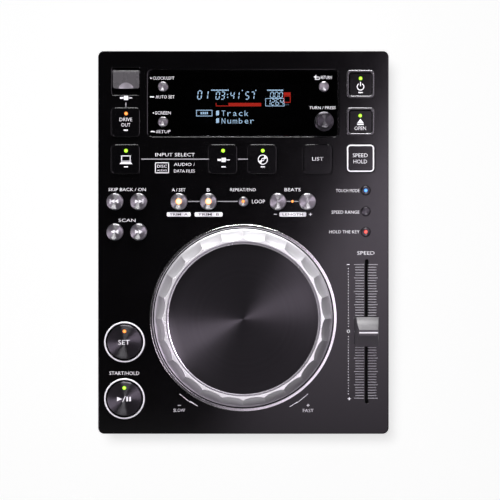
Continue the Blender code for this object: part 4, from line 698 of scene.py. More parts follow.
def make_piece(name, mesh, finish, body, replaces=(), spin=None):
    thing = mesh if isinstance(mesh, bpy.types.Object) else place_object(name, mesh)
    thing.name = name
    if finish is not None:
        coat(thing.data, finish)
    if spin is not None:
        mark_spin(thing.data, spin)
    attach(thing, body)
    if replaces:
        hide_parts(*replaces)
    return thing


def combine(thing, operation, shells, own=False):
    """Joins shells to a piece, or cuts them out of it, at once."""
    helper = place_object("helper", build_mesh("helper", shells))
    modifier = thing.modifiers.new("shape", "BOOLEAN")
    modifier.operation = operation
    modifier.solver = "EXACT"
    modifier.use_self = own
    modifier.object = helper
    settle(thing)
    mesh = helper.data
    bpy.data.objects.remove(helper)
    bpy.data.meshes.remove(mesh)


def socket_name(tree, label):
    for item in tree.interface.items_tree:
        if item.item_type == "SOCKET" and item.in_out == "INPUT" and item.name == label:
            return item.identifier
    raise KeyError(label)


def run_nodes(thing, tree, values):
    """Runs a geometry tree on an object and keeps the result as a plain mesh."""
    modifier = thing.modifiers.new(tree.name, "NODES")
    modifier.node_group = tree
    for label, value in values.items():
        modifier[socket_name(tree, label)] = value
    settle(thing)
    smooth(thing.data)
    return thing


# Geometry trees for what repeats


def set_copies(tree, given, made, points, shape, weld=False, **more):
    """Ends a tree: copies of a shape on points, made real, welded where asked, and given the finish."""
    inputs = {"Points": points, "Instance": shape, **more}
    copies = add_node(tree, "GeometryNodeInstanceOnPoints", inputs)
    real = add_node(tree, "GeometryNodeRealizeInstances", {"Geometry": copies})
    if weld:
        inputs = {"Geometry": real, "Distance": given["Weld Distance"]}
        real = add_node(tree, "GeometryNodeMergeByDistance", inputs)
    finished = add_node(tree, "GeometryNodeSetMaterial", {"Geometry": real, "Material": given["Finish"]})
    feed(tree, made, {0: finished})
    return tree


def around_tree():
    """Copies of a shape set round an axis and welded to each other."""
    tree, given, made = new_group(
        "Copies round an axis",
        "GeometryNodeTree",
        [
            ("Geometry", "NodeSocketGeometry", None),
            ("Count", "NodeSocketInt", 24),
            ("Axis Place", "NodeSocketVector", None),
            ("Weld Distance", "NodeSocketFloat", 0.00001),
            ("Finish", "NodeSocketMaterial", None),
        ],
        [("Geometry", "NodeSocketGeometry")],
    )
    points = add_node(tree, "GeometryNodePoints", {"Count": given["Count"], "Position": given["Axis Place"]})
    index = add_node(tree, "GeometryNodeInputIndex")
    turn = math_node(tree, "DIVIDE", math_node(tree, "MULTIPLY", index, math.tau), given["Count"])
    angles = add_node(tree, "ShaderNodeCombineXYZ", {"Z": turn})
    heading = add_node(tree, "FunctionNodeEulerToRotation", {0: angles})
    return set_copies(tree, given, made, points, given["Geometry"], True, Rotation=heading)


def on_points_tree():
    """A copy of a shape on each point of the object's own mesh."""
    tree, given, made = new_group(
        "Copies on points",
        "GeometryNodeTree",
        [
            ("Geometry", "NodeSocketGeometry", None),
            ("Shape", "NodeSocketObject", None),
            ("Size", "NodeSocketFloat", 1.0),
            ("Finish", "NodeSocketMaterial", None),
        ],
        [("Geometry", "NodeSocketGeometry")],
    )
    shape = add_node(tree, "GeometryNodeObjectInfo", {"Object": given["Shape"]}).outputs["Geometry"]
    return set_copies(tree, given, made, given["Geometry"], shape, Scale=given["Size"])


def scale_tree():
    """A printed scale: ticks in a row, with every so many drawn longer."""
    tree, given, made = new_group(
        "Printed scale",
        "GeometryNodeTree",
        [
            ("Geometry", "NodeSocketGeometry", None),
            ("Count", "NodeSocketInt", 51),
            ("Start", "NodeSocketVector", None),
            ("Pitch", "NodeSocketFloat", 0.002),
            ("Tick Length", "NodeSocketFloat", 0.006),
            ("Long Share", "NodeSocketFloat", 1.15),
            ("Long Every", "NodeSocketInt", 5),
            ("Tick Width", "NodeSocketFloat", 0.0006),
            ("Ink Height", "NodeSocketFloat", 0.00004),
            ("Side", "NodeSocketFloat", 1.0),
            ("Finish", "NodeSocketMaterial", None),
        ],
        [("Geometry", "NodeSocketGeometry")],
    )

    def join(x=0.0, y=0.0, z=0.0):
        return add_node(tree, "ShaderNodeCombineXYZ", {"X": x, "Y": y, "Z": z})

    line = {"Count": given["Count"], "Start Location": given["Start"], "Offset": join(y=given["Pitch"])}
    row = add_node(tree, "GeometryNodeMeshLine", line)
    size = join(given["Tick Length"], given["Tick Width"], given["Ink Height"])
    bar = add_node(tree, "GeometryNodeMeshCube", {"Size": size})
    reach = math_node(tree, "MULTIPLY", math_node(tree, "MULTIPLY", given["Tick Length"], 0.5), given["Side"])
    moved = join(reach, z=math_node(tree, "MULTIPLY", given["Ink Height"], 0.5))
    tick = add_node(tree, "GeometryNodeTransform", {"Geometry": bar, "Translation": moved})
    index = add_node(tree, "GeometryNodeInputIndex")
    is_long = math_node(tree, "LESS_THAN", math_node(tree, "MODULO", index, given["Long Every"]), 0.5)
    more = math_node(tree, "MULTIPLY", is_long, math_node(tree, "SUBTRACT", given["Long Share"], 1.0))
    stretch = join(math_node(tree, "ADD", more, 1.0), 1.0, 1.0)
    return set_copies(tree, given, made, row, tick, Scale=stretch)


# The case


def outline_of(node, grow, corner, height, steps=8):
    """A rounded outline about a node's middle, as wide and deep as the node and grown by an amount."""
    low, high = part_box(node)
    width, depth = high.x - low.x + 2 * grow, high.y - low.y + 2 * grow
    return rounded(width, depth, corner, height, centre=ground(node), steps=steps)


def hole_shell(ring_at, low, edge, top=PANEL_Z):
    """A cutter that leaves a rounded upper edge, from a function of growth and height."""
    rim = [ring_at(inset, z) for inset, z in fillet(edge, top, 4)]
    return [ring_at(0, low), *rim, ring_at(edge, top + OVERRUN)], False


def key_corner(node):
    keys = bpy.context.scene.player_keys
    return keys.square_corner if node in SQUARE_KEYS else keys.guarded_corner


def key_ring(node):
    """The ring function of a key's hole, whose growth is from the key's cap."""
    slack = KEY_GAP - KEY_FLANGE_MARGIN
    if node in SQUARE_KEYS or node in GUARDED_KEYS:
        return lambda grow, z: outline_of(node, slack + grow, key_corner(node) + KEY_GAP + grow, z)
    return lambda grow, z: circle(half_width(node) + slack + grow, z, 48, centre=ground(node))


def case_shell(case):
    """The case's skin, outside and inside, open below."""
    width, depth, foot_edge = RIGHT - LEFT, REAR - FRONT, 0.0003

    def outline(inset, corner, z):
        return rounded(width - 2 * inset, depth - 2 * inset, corner, z, centre=(0, MIDDLE_Y, 0), steps=10)

    rings = [outline(WALL, case.corner - WALL, z) for z in (PANEL_Z - WALL, PARTING_Z)]
    rings.append(outline(foot_edge, case.corner - foot_edge, PARTING_Z))
    rings.append(outline(0, case.corner, PARTING_Z + foot_edge))
    rings += [outline(inset, case.corner - inset, z) for inset, z in fillet(case.edge, PANEL_Z)]
    return rings, False


def case_walls(case):
    """What stands under the panel round the well, the window and the pocket, and the guards on it."""
    skin = PANEL_Z - WALL / 2
    rim = 0.003
    window = [outline_of("display_window", rim, WINDOW_CORNER + rim, z) for z in (PANEL_Z - BACKING, skin)]
    sides = [side + 2 * POCKET_WALL for side in POCKET_SIZE]
    corner = POCKET_CORNER + POCKET_WALL
    pocket = [rounded(*sides, corner, z, centre=POCKET_MIDDLE) for z in (POCKET_FLOOR_Z - POCKET_WALL, skin)]
    well = cylinder(WELL_RADIUS + 0.002, WELL_FLOOR_Z - WELL_FLOOR, skin, 96, ground("jog_trim_ring"))
    shells = [well, (window, False), (pocket, False)]
    for key in GUARDED_KEYS:
        guard = []
        for inset, z in [(0, skin), *fillet(case.guard_edge, GUARD_TOP, 6)]:
            side = GUARD_SIDE - 2 * inset
            guard.append(rounded(side, side, GUARD_CORNER - inset, z, centre=ground(key)))
        shells.append((guard, False))
    return shells


def case_seats(case):
    """Cutters of the well, the window's seat, the pocket and the start keys' seats."""
    trim, seat = half_width("jog_trim_ring") + FIT_GAP, PANEL_Z - 0.001
    hole = 0.0053
    well = [(hole, WELL_FLOOR_Z - WELL_FLOOR - OVERRUN), (hole, WELL_FLOOR_Z)]
    well += [(WELL_RADIUS, WELL_FLOOR_Z), (WELL_RADIUS, seat), (trim, seat), (trim, ABOVE)]

    def window(grow, z):
        return outline_of("display_window", FIT_GAP + grow, WINDOW_CORNER + FIT_GAP + grow, z)

    def pocket(grow, z):
        sides = [side + 2 * grow for side in POCKET_SIZE]
        return rounded(*sides, POCKET_CORNER + grow, z, centre=POCKET_MIDDLE)

    shells = [
        turned(well, 128, centre=ground("jog_trim_ring")),
        hole_shell(window, PANEL_Z - 0.0023, case.window_edge),
        hole_shell(pocket, POCKET_FLOOR_Z, 0.0004),
    ]
    return shells + [cylinder(0.0156, PANEL_Z - 0.0008, ABOVE, 64, ground(key)) for key in START_KEYS]


def case_holes(case):
    """Cutters of every hole through the panel, the rear opening and the disc slot."""
    holes = [hole_shell(key_ring(key), BELOW, case.hole_edge) for key in (*SQUARE_KEYS, *ROUND_KEYS, *MODE_KEYS)]
    edge = case.guard_edge * 0.8
    for key in GUARDED_KEYS:
        ring = key_ring(key)
        lip = [ring(0, BELOW), *(ring(inset, z) for inset, z in fillet(edge, GUARD_TOP, 5)), ring(edge, ABOVE)]
        holes.append((lip, False))
    for key in (*WINDOW_KEYS, *START_KEYS):
        ring = key_ring(key)
        holes.append(([ring(0, BELOW), ring(0, ABOVE)], False))
    holes.append(cylinder(KNOB_HOLE, BELOW, ABOVE, 32, ground("select_knob")))
    window = ground("display_window")
    holes.append(([rounded(*VIEW_SIZE, 0.001, z, centre=window, steps=4) for z in (BELOW, ABOVE)], False))
    fader, (slot, travel) = ground("tempo_fader_body"), FADER_SLOT

    def fader_slot(grow, z):
        return rounded(slot + 2 * grow, travel + 2 * grow, slot / 2.2 + grow, z, centre=fader)

    holes.append(hole_shell(fader_slot, BELOW, 0.0003))
    port_low = (POCKET_MIDDLE.x - PORT_HALF[0], POCKET_MIDDLE.y - PORT_HALF[1], POCKET_FLOOR_Z - OVERRUN)
    port_high = (POCKET_MIDDLE.x + PORT_HALF[0], POCKET_MIDDLE.y + PORT_HALF[1], POCKET_FLOOR_Z + 0.001)
    holes.append(box_shell(port_low, port_high))
    rear_half, rear_top = 0.095, 0.0597
    rear_low = (-rear_half, REAR - WALL - 0.001, PARTING_Z - OVERRUN)
    holes.append(box_shell(rear_low, (rear_half, REAR + OVERRUN, rear_top)))
    mouth, slot_rings = 0.0009, []
    for grow, y in ((mouth, FRONT - OVERRUN), (mouth, FRONT), (0.0, FRONT + mouth), (0.0, FRONT + WALL + 0.001)):
        size = (SLOT_WIDTH + 2 * grow, SLOT_HEIGHT + 2 * grow)
        slot_rings.append(rounded(*size, 0.0012 + grow, y, "Y", (0, 0, SLOT_Z), 5))
    holes.append((slot_rings, False))
    return holes


def make_panel_case():
    """The upper case: a thin shell with its well, seats, holes, slots and raised guards."""
    case = bpy.context.scene.player_case
    thing = place_object("panel_case", build_mesh("panel_case", [case_shell(case)]))
    combine(thing, "UNION", case_walls(case))
    combine(thing, "DIFFERENCE", case_seats(case))
    combine(thing, "DIFFERENCE", case_holes(case))
    smooth(thing.data, 26)
    guard = moulded("Guard moulding", case.guard, 0.27, 0.8, grain=2600.0, depth=0.000004, spread=0.03, vary=0.03)
    coat(thing.data, case_finish(), guard, lambda face: face.center.z > PANEL_Z + 0.0001)
    make_piece("panel_case", thing, None, "case", ("top_case",))


def make_window():
    """The flush display window, a smoked acrylic plate with a polished bevel."""
    tint = bpy.context.scene.player_case.acrylic
    low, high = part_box("display_window")
    sides = [(0, low.z), *fillet(0.00025, high.z, 3)]
    rings = [outline_of("display_window", -inset, WINDOW_CORNER - inset, z) for inset, z in sides]
    thing = place_object("window_plate", build_mesh("window_plate", [(rings, False)]))
    holes = [hole_shell(key_ring(key), low.z - OVERRUN, 0.0002) for key in WINDOW_KEYS]
    holes.append(cylinder(KNOB_HOLE, low.z - OVERRUN, high.z + OVERRUN, 32, ground("select_knob")))
    combine(thing, "DIFFERENCE", holes)
    smooth(thing.data)
    finish, tree, shader = new_finish("Smoked acrylic", 0.03, 0.0, transmission_weight=1.0, ior=1.49)
    handled = use_group(tree, "handling", {"Vector": object_place(tree), "Scale": 60.0, "Amount": 1.0})
    rough = range_node(tree, handled, (0.0, 1.0), (0.02, 0.06))
    shade = blend_node(tree, handled, tinted(tint, 1.0), tinted(tint, 0.92))
    feed(tree, shader, {"Roughness": rough, "Base Color": shade})
    make_piece("window_plate", thing, finish, "case", ("display_window",))


def make_flap():
    """The dust flap over the memory-stick port, with a scooped finger edge."""
    hinge_y, hinge_z, x = 0.12395, 0.0860, POCKET_MIDDLE.x
    half, depth, pin = 0.00995, 0.0125, 0.0111
    front, top = hinge_y - depth, PANEL_Z - 0.0003
    rings = []
    for inset, z in [(0, top - 0.0016), *fillet(0.0003, top, 3)]:
        size = (2 * half - 2 * inset, depth - 2 * inset)
        rings.append(rounded(*size, 0.0016 - inset, z, centre=(x, (hinge_y + front) / 2, 0)))
    thing = place_object("dust_flap", build_mesh("dust_flap", [(rings, False)]))
    pins = [(0.0008, -pin), (0.0008, -half), (0.0015, -half), (0.0015, half), (0.0008, half), (0.0008, pin)]
    combine(thing, "UNION", [turned(pins, 32, "X", (x, hinge_y, hinge_z))])
    reach, hollow = 0.006, 0.0014
    ball = (reach**2 + hollow**2) / (2 * hollow)
    middle_of_ball = Vector((x, front - 0.0016, top + ball - hollow))
    bowl = []
    for row in range(11):
        lean = math.asin(reach / ball) * 1.25 * row / 10
        bowl.append((ball * math.sin(lean), middle_of_ball.z - ball * math.cos(lean)))
    combine(thing, "DIFFERENCE", [turned(bowl, 64, centre=(x, front - 0.0016, 0))])
    smooth(thing.data)

    def scooped(face):
        away = (face.center - middle_of_ball).length
        return abs(away - ball) < 0.00006 and 0.2 < face.normal.z < 0.9999

    smoke = bpy.context.scene.player_case.flap_plastic
    plain = moulded("Smoke grey moulding", smoke, 0.3, grain=3000.0, depth=0.00001)
    # The scoop's faces get a lighter grey than the flap: a painted highlight.
    bright = moulded("Polished scoop", (0.42, 0.41, 0.43), 0.22, 0.3, grain=3000.0, depth=0.000004)
    coat(thing.data, plain, bright, scooped)
    make_piece("dust_flap", thing, None, BODY_OF["usb_flap"], ("usb_flap",))


def set_on_points(name, shape, places, finish, tree):
    """A piece made of copies of a shape, one on each place. The shape itself is then removed."""
    points = bpy.data.meshes.new(name)
    points.from_pydata(places, [], [])
    thing = run_nodes(place_object(name, points), tree, {"Shape": shape, "Finish": finish})
    bpy.data.objects.remove(shape)
    return thing


def make_feet():
    """Four rubber feet with a rounded tread and a recessed middle, one on each place."""
    feet = sorted(node for node in frame["nodes"] if node.startswith("rubber_foot"))
    low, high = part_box(feet[0])
    radius, height = half_width(feet[0]), high.z - low.z
    profile = [(0.0, 0.0016), (0.0036, 0.0016), (0.0042, 0.0006), (0.0052, 0.0)]
    profile += [(radius - 0.0034, 0.0), (radius - 0.0024, 0.0003), (radius - 0.0015, 0.0012)]
    profile += [(radius - 0.0004, height * 0.75), (radius, height - 0.0006), (radius, height)]
    shape = place_object("foot_shape", build_mesh("foot_shape", [turned(profile, 48)]))
    finish = moulded("Foot rubber", bpy.context.scene.player_case.rubber, 0.75, grain=900.0, depth=0.00006)
    places = [(middle(foot).x, middle(foot).y, low.z) for foot in feet]
    thing = set_on_points("rubber_feet", shape, places, finish, on_points_tree())
    make_piece("rubber_feet", thing, None, "case", feet)


def screw_shell(out):
    """A pan head, which faces along out from the origin."""
    axis = "Z" if abs(out.z) > 0.5 else "Y"
    sign = out.z if axis == "Z" else out.y
    head = [(0.0016, -0.0004), (0.0029, 0.0), (0.0029, 0.0006), (0.0024, 0.0012), (0.0014, 0.0016), (0.0, 0.0017)]
    return turned([(radius, sign * along) for radius, along in head], 24, axis)


def cross_shells(out):
    """The two arms of a cross recess in a screw's head."""
    shells = []
    for arm in ((0.0012, 0.0003), (0.0003, 0.0012)):
        if out.z:
            shells.append(box_shell((-arm[0], -arm[1], -0.003), (*arm, -0.0008)))
        else:
            shells.append(box_shell((-arm[0], 0.0008, -arm[1]), (arm[0], 0.003, arm[1])))
    return shells


def make_screws():
    """Cross-head screws in the base's recesses and along the rear panel."""
    finish = moulded("Blackened screw", (0.03, 0.03, 0.032), 0.35, 0.8, grain=4000.0, depth=0.000006)
    tree = on_points_tree()
    inset, seat_z, rear_z = 0.009, 0.0104, 0.0535
    search_y, cue_y = middle("search_back_button").y, middle("cue_button").y
    left_rows = (FRONT + inset, cue_y + (search_y - cue_y) * 0.531, REAR - inset)
    right_rows = (FRONT + inset, REAR - 0.14, REAR - inset)
    under = [(LEFT + inset, y, seat_z) for y in left_rows] + [(RIGHT - inset, y, seat_z) for y in right_rows]
    rear_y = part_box("computer_socket")[1].y + 0.0001
    behind = [(x, rear_y, rear_z) for x in (-0.09, -0.006, 0.032, 0.09)]
    for name, out, places in (("base_screws", (0, 0, -1), under), ("rear_screws", (0, 1, 0), behind)):
        out = Vector(out)
        shape = place_object("screw_shape", build_mesh("screw_shape", [screw_shell(out)]))
        combine(shape, "DIFFERENCE", cross_shells(out), True)
        make_piece(name, set_on_points(name, shape, places, finish, tree), None, "case")


def make_audio_sockets():
    """The audio pair and the control jack: plated barrels with coloured liners, on one moulded body."""
    low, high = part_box("audio_sockets")
    wall_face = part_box("computer_socket")[1].y
    z = middle("audio_sockets").z
    body = box_shell(low, (high.x, wall_face - 0.0018, high.z))
    mesh = build_mesh("socket_body", [body])
    make_piece("socket_body", mesh, socket_finish(), "case", ("audio_sockets",))
    plate = moulded("Bright plating", (0.75, 0.74, 0.72), 0.16, 1.0, grain=1500.0, depth=0.000002)
    start, reach = wall_face - 0.0028, high.y - 0.0014
    wall, edge, pin_hole = 0.0009, 0.0004, 0.0017
    for name, x, radius, end, shade in (
        ("left", -0.062, 0.0042, reach, (0.75, 0.75, 0.72)),
        ("right", -0.046, 0.0042, reach, (0.55, 0.02, 0.02)),
        ("control", -0.03, 0.0038, wall_face + 0.0016, (0.012, 0.012, 0.013)),
    ):
        barrel = [(radius - wall, start), (radius, start), (radius, end - edge)]
        barrel += [(radius - edge, end), (radius - wall, end), (radius - wall, end - edge)]
        mesh = build_mesh(f"{name}_barrel", [turned(barrel, 40, "Y", (x, 0, z), True)])
        make_piece(f"{name}_barrel", mesh, plate, "case")
        inner = radius - 0.00088
        liner = [(pin_hole, end - 0.0095), (inner, end - 0.0095), (inner, end - 0.0003)]
        liner += [(0.0022, end - 0.0003), (pin_hole, end - 0.0008)]
        mesh = build_mesh(f"{name}_liner", [turned(liner, 40, "Y", (x, 0, z), True)])
        make_piece(f"{name}_liner", mesh, moulded(f"Socket liner {name}", shade, 0.4), "case")


# The jog wheel


def make_jog_wheel():
    """The fluted wheel: one scoop is shaped here and a geometry tree sets it round the axis."""
    jog = bpy.context.scene.player_jog
    centre = ground("jog_wheel")
    crown, foot, top, bottom = 0.0604, 0.0662, 0.0182, 0.0018
    bore, web_top, web_low, hub, base = 0.007, 0.0163, 0.0143, 0.0105, -0.003
    seat, skirt, skirt_low, edge = 0.057, 0.067, -0.0015, 0.0006
    belly, shell = 0.001, 0.0022
    sector = math.tau / jog.flutes

    def flank(share):
        radius = crown + (foot - crown) * share + belly * 4 * share * (1 - share)
        a, b, c = jog.crown_depth, jog.middle_depth, jog.foot_depth
        depth = a + (4 * b - 3 * a - c) * share + (2 * a + 2 * c - 4 * b) * share * share
        return radius, top + (bottom - top) * share, depth

    section = [(bore, base, 0), (bore, web_top, 0), (seat, web_top, 0), (seat, 0.0178, 0)]
    section += [(0.05712, 0.01808, 0), (0.0574, top, 0), (0.058, top, 0)]
    edge_radius, edge_z, edge_depth = flank(0)
    for step in range(5):
        turn = step / 4 * math.pi / 2
        inset, drop = edge * (1 - math.sin(turn)), edge * (1 - math.cos(turn))
        section.append((edge_radius - inset, edge_z - drop, edge_depth))
    section += [flank(0.04 + 0.96 * step / 12) for step in range(1, 13)]
    section += [(0.0668, 0.0013, 0), (skirt, 0.0011, 0), (skirt, skirt_low, 0), (0.0648, skirt_low, 0)]
    section += [(crown - jog.crown_depth - shell, web_low, 0), (hub, web_low, 0), (hub, base, 0)]
    mesh = sector_mesh("flute", section, jog.flute_steps, sector, lambda along: 1 - abs(2 * along - 1) ** 2.4, True)
    silver = moulded(
        "Satin silver", jog.silver, 0.52, 0.72, grain=2600.0, depth=0.000004, spread=0.04, vary=0.03, wear=0.1
    )
    place = (centre.x, centre.y, PANEL_Z)
    values = {"Count": jog.flutes, "Axis Place": place, "Weld Distance": 0.00001, "Finish": silver}
    thing = run_nodes(place_object("fluted_wheel", mesh), around_tree(), values)
    edit_mesh(thing.data, lambda form: bmesh.ops.recalc_face_normals(form, faces=form.faces))
    smooth(thing.data, 34)
    # The wheel's upward faces round its top edge are painted almost white: a painted highlight.
    lip = moulded("Polished lip", (0.9, 0.9, 0.91), 0.25, 0.4, grain=2600.0, depth=0.000002, vary=0.02)
    lip_z = PANEL_Z + top - 0.0008
    coat(thing.data, silver, lip, lambda face: face.normal.z > 0.8 and face.center.z > lip_z)
    for line in thing.data.edges:
        ends = [thing.data.vertices[index].co - centre for index in line.vertices]
        places = [math.atan2(end.y, end.x) / sector for end in ends]
        if all(abs(place - round(place)) < 0.001 for place in places):
            line.use_edge_sharp = True
    make_piece("fluted_wheel", thing, None, BODY_OF["jog_wheel"], ("jog_wheel",), centre)


def make_jog_plate():
    """The spun top plate, slightly crowned, with a bevelled rim."""
    jog = bpy.context.scene.player_jog
    centre = ground("jog_top_plate")
    low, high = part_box("jog_top_plate")
    radius, rim = half_width("jog_top_plate"), high.z - jog.rise
    face = radius - 0.0013
    profile = [(radius, low.z), (radius, rim - 0.001), (radius - 0.0001, rim - 0.0008)]
    profile += [(radius - 0.0011, rim - 0.00008), (face, rim)]
    profile += [(face * (1 - step / 8), rim + jog.rise * step / 8) for step in range(1, 9)]
    disc = spun("Spun black disc", jog.disc, 0.38, 0.9, jog.disc_turn, 3200.0, 0.000002, vary=0.04, sand=1500.0)
    bright = moulded("Cut chamfer", (0.7, 0.7, 0.71), 0.25, 0.6, grain=1500.0, depth=0.000002, vary=0.02)
    mesh = build_mesh("spun_plate", [turned(profile, 144, centre=centre)])

    def chamfer(part):
        outside = off_axis(part.center, centre) > radius - 0.0012
        return outside and part.center.z > rim - 0.0009 and part.normal.z > 0.3

    coat(mesh, disc, bright, chamfer)
    place = (centre.x, centre.y, rim)
    make_piece("spun_plate", mesh, None, BODY_OF["jog_top_plate"], ("jog_top_plate",), place)


def make_jog_trim():
    """The plated ring round the well: a narrow lip and a bevel that falls to the wheel."""
    centre = ground("jog_trim_ring")
    low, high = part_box("jog_trim_ring")
    outer, top, inner_top = half_width("jog_trim_ring"), high.z, high.z - 0.00001
    profile = [(WELL_RADIUS, low.z), (outer, low.z)]
    profile += [(outer - inset, z) for inset, z in fillet(0.0003, top)]
    profile += [(outer - 0.0006, top), (WELL_RADIUS + 0.0007, inner_top)]
    profile += [(WELL_RADIUS + inset, z) for inset, z in fillet(0.0004, inner_top, rises=False)]
    plate = spun("Plated trim", bpy.context.scene.player_jog.trim, 0.16, 1.0, 0.4, 2600.0, 0.000001, vary=0.03)
    mesh = build_mesh("well_trim", [turned(profile, 144, centre=centre, closed=True)])
    make_piece("well_trim", mesh, plate, "case", ("jog_trim_ring",), (centre.x, centre.y, top))


# Keys, knob and fader


def key_profile(node, edge):
    """(inset from the flange's outer edge, height) pairs up a key's side."""
    low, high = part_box(node)
    stop = low.z + KEY_FLANGE
    pairs = [(0, low.z), (0, stop), (KEY_FLANGE_MARGIN, stop)]
    return pairs + [(KEY_FLANGE_MARGIN + inset, z) for inset, z in fillet(edge, high.z, 5)]


def make_square_keys():
    """The large square keys and the two guarded ones, each moulded with soft edges."""
    edge = bpy.context.scene.player_keys.edge
    for node in (*SQUARE_KEYS, *GUARDED_KEYS):
        corner = key_corner(node) + KEY_FLANGE_MARGIN
        rings = [outline_of(node, -inset, corner - inset, z) for inset, z in key_profile(node, edge)]
        name = node.replace("button", "key_cap")
        make_piece(name, build_mesh(name, [(rings, False)]), key_finish(), BODY_OF[node], (node,))


def make_round_keys():
    """The round metal keys, spun with a shallow hollow, and the small mode keys."""
    keys = bpy.context.scene.player_keys
    bright = spun("Spun key metal", keys.spun, 0.42, 1.0, 1.0, 7000.0, 0.000003, vary=0.05)
    dark = spun("Spun dark metal", keys.dark_spun, 0.42, 1.0, 1.0, 6000.0, 0.000003, vary=0.05)
    kinds = (
        ((*ROUND_KEYS, *WINDOW_KEYS), bright, "spun_metal", 48),
        (MODE_KEYS, dark, "key_plastic", 48),
        (START_KEYS, dark, "dark_spun_metal", 96),
    )
    rings = 6
    for nodes, metal, slot, count in kinds:
        for node in nodes:
            centre, radius, top = ground(node), half_width(node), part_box(node)[1].z
            profile = [(radius - inset, z) for inset, z in key_profile(node, keys.edge)]
            rim = profile[-1][0]
            for step in range(1, rings + 1):
                share = step / rings
                profile.append((rim * (1 - share), top - keys.dish * math.sin(share * math.pi / 2)))
            name = node.replace("button", "key_cap")
            mesh = build_mesh(name, [turned(profile, count, centre=centre)])
            make_piece(name, mesh, metal, BODY_OF[node], (node,), (centre.x, centre.y, top))


def make_start_trims():
    """The pale rings round the two start keys, each with a dark sleeve inside it."""
    ring = bpy.context.scene.player_keys.ring
    pale = moulded("Pale trim", ring, 0.3, 0.0, grain=3000.0, depth=0.000004, vary=0.03)
    inner, sleeve, step = 0.0137, 0.0141, 0.0006
    for node in ("cue_trim_ring", "play_trim_ring"):
        low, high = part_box(node)
        centre, outer = ground(node), half_width(node)
        profile = [(inner, low.z), (outer, low.z)]
        profile += [(outer - inset, z) for inset, z in fillet(0.0004, high.z)]
        profile += [(sleeve + inset, z) for inset, z in fillet(0.0003, high.z, rises=False)]
        profile += [(sleeve, high.z - step), (inner + 0.0001, high.z - step), (inner, high.z - step - 0.0001)]
        name = node.replace("_ring", "")
        mesh = build_mesh(name, [turned(profile, 96, centre=centre, closed=True)])
        coat(mesh, pale, case_finish(), lambda face: off_axis(face.center, centre) < sleeve + TINY)
        make_piece(name, mesh, None, "case", (node,))


def make_knob():
    """The push-turn knob: a skirt, a finely ribbed side set round by a geometry tree and a spun cap."""
    low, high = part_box("select_knob")
    centre = ground("select_knob")
    bore, base, crown, ribs, bite = 0.0032, 0.0072, 0.0059, 40, 0.00022
    skirt = [(bore, 0.0077), (bore, 0.0), (base - 0.0002, 0.0), (base, 0.0002), (base, 0.0015)]
    skirt += [(base - 0.0004, 0.002), (crown + 0.0004, 0.0023)]
    section = [(radius, low.z + z, 0) for radius, z in skirt]
    section += [(crown + 0.0003, low.z + 0.0028, bite), (crown + 0.0001, high.z - 0.0012, bite)]
    section += [(crown - inset, z, 0) for inset, z in fillet(0.0006, high.z)]
    cap = ((crown - 0.001, 0), (crown - 0.0012, 0.0002), (crown * 0.5, 0.0003), (0.0, 0.00035))
    section += [(radius, high.z - drop, 0) for radius, drop in cap]
    mesh = sector_mesh(
        "knob", section, 4, math.tau / ribs, lambda along: 0.5 + 0.5 * math.cos(math.tau * along), False
    )
    shade = bpy.context.scene.player_keys.dark_spun
    dark = spun("Spun knob metal", shade, 0.4, 1.0, 1.0, 6500.0, 0.000003, vary=0.05)
    values = {"Count": ribs, "Axis Place": (centre.x, centre.y, 0), "Weld Distance": 0.000012, "Finish": dark}
    thing = run_nodes(place_object("select_knob_cap", mesh), around_tree(), values)

    def close(form):
        bmesh.ops.holes_fill(form, edges=[edge for edge in form.edges if edge.is_boundary])
        bmesh.ops.recalc_face_normals(form, faces=form.faces)

    edit_mesh(thing.data, close)
    smooth(thing.data, 30)
    place = (centre.x, centre.y, high.z)
    make_piece("select_knob_cap", thing, None, BODY_OF["select_knob"], ("select_knob",), place)


def make_fader_cap():
    """The fader's cap: hollowed flanks up to a flat ridge, and its white line."""
    low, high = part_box("tempo_fader_knob")
    mid = ground("tempo_fader_knob")
    half, ridge, foot, shoulder, top = (high.y - low.y) / 2, 0.0023, 0.0006, 0.0065, 0.0155
    half_wide, lean, hollow, steps = 0.0094, 0.0022, 0.0012, 12
    side = [(half, foot)]
    for step in range(steps + 1):
        share = step / steps
        z = shoulder + (top - shoulder) * share - hollow * math.sin(math.pi * share)
        side.append((half + (ridge - half) * share, z))
    outline = side + [(-y, z) for y, z in reversed(side)]
    rings = [
        [Vector((mid.x + end * (half_wide - lean / top * z), mid.y + y, PANEL_Z + z)) for y, z in outline]
        for end in (-1, 1)
    ]
    thing = place_object("fader_cap", build_mesh("fader_cap", [(rings, False)]))
    bevel = thing.modifiers.new("soft", "BEVEL")
    bevel.width = 0.00045
    bevel.segments = 3
    bevel.limit_method = "ANGLE"
    bevel.angle_limit = math.radians(40)
    settle(thing)
    lever = Vector((0.0009, 0.0028, 0.0093))
    hole = box_shell((mid.x - lever.x, mid.y - lever.y, PANEL_Z - OVERRUN), mid + lever + Vector((0, 0, PANEL_Z)))
    combine(thing, "DIFFERENCE", [hole])
    smooth(thing.data, 32)
    black = moulded("Fader moulding", (0.062, 0.058, 0.064), 0.5, grain=3000.0, depth=0.00001, wear=0.3)
    body = BODY_OF["tempo_fader_knob"]
    make_piece("fader_cap", thing, black, body, ("tempo_fader_knob",))
    line = Vector((half_wide - lean - 0.0002, 0.0005, 0))
    crest = Vector((mid.x, mid.y, PANEL_Z + top))
    shell = box_shell(crest - line - Vector((0, 0, 0.0004)), crest + line + Vector((0, 0, 0.00003)))
    white = moulded("Fader line", (0.82, 0.82, 0.83), 0.35, grain=3000.0, depth=0.000004, vary=0.02)
    make_piece("fader_line", build_mesh("fader_line", [shell]), white, body)


# Print, gathered by the body that carries it and by its ink


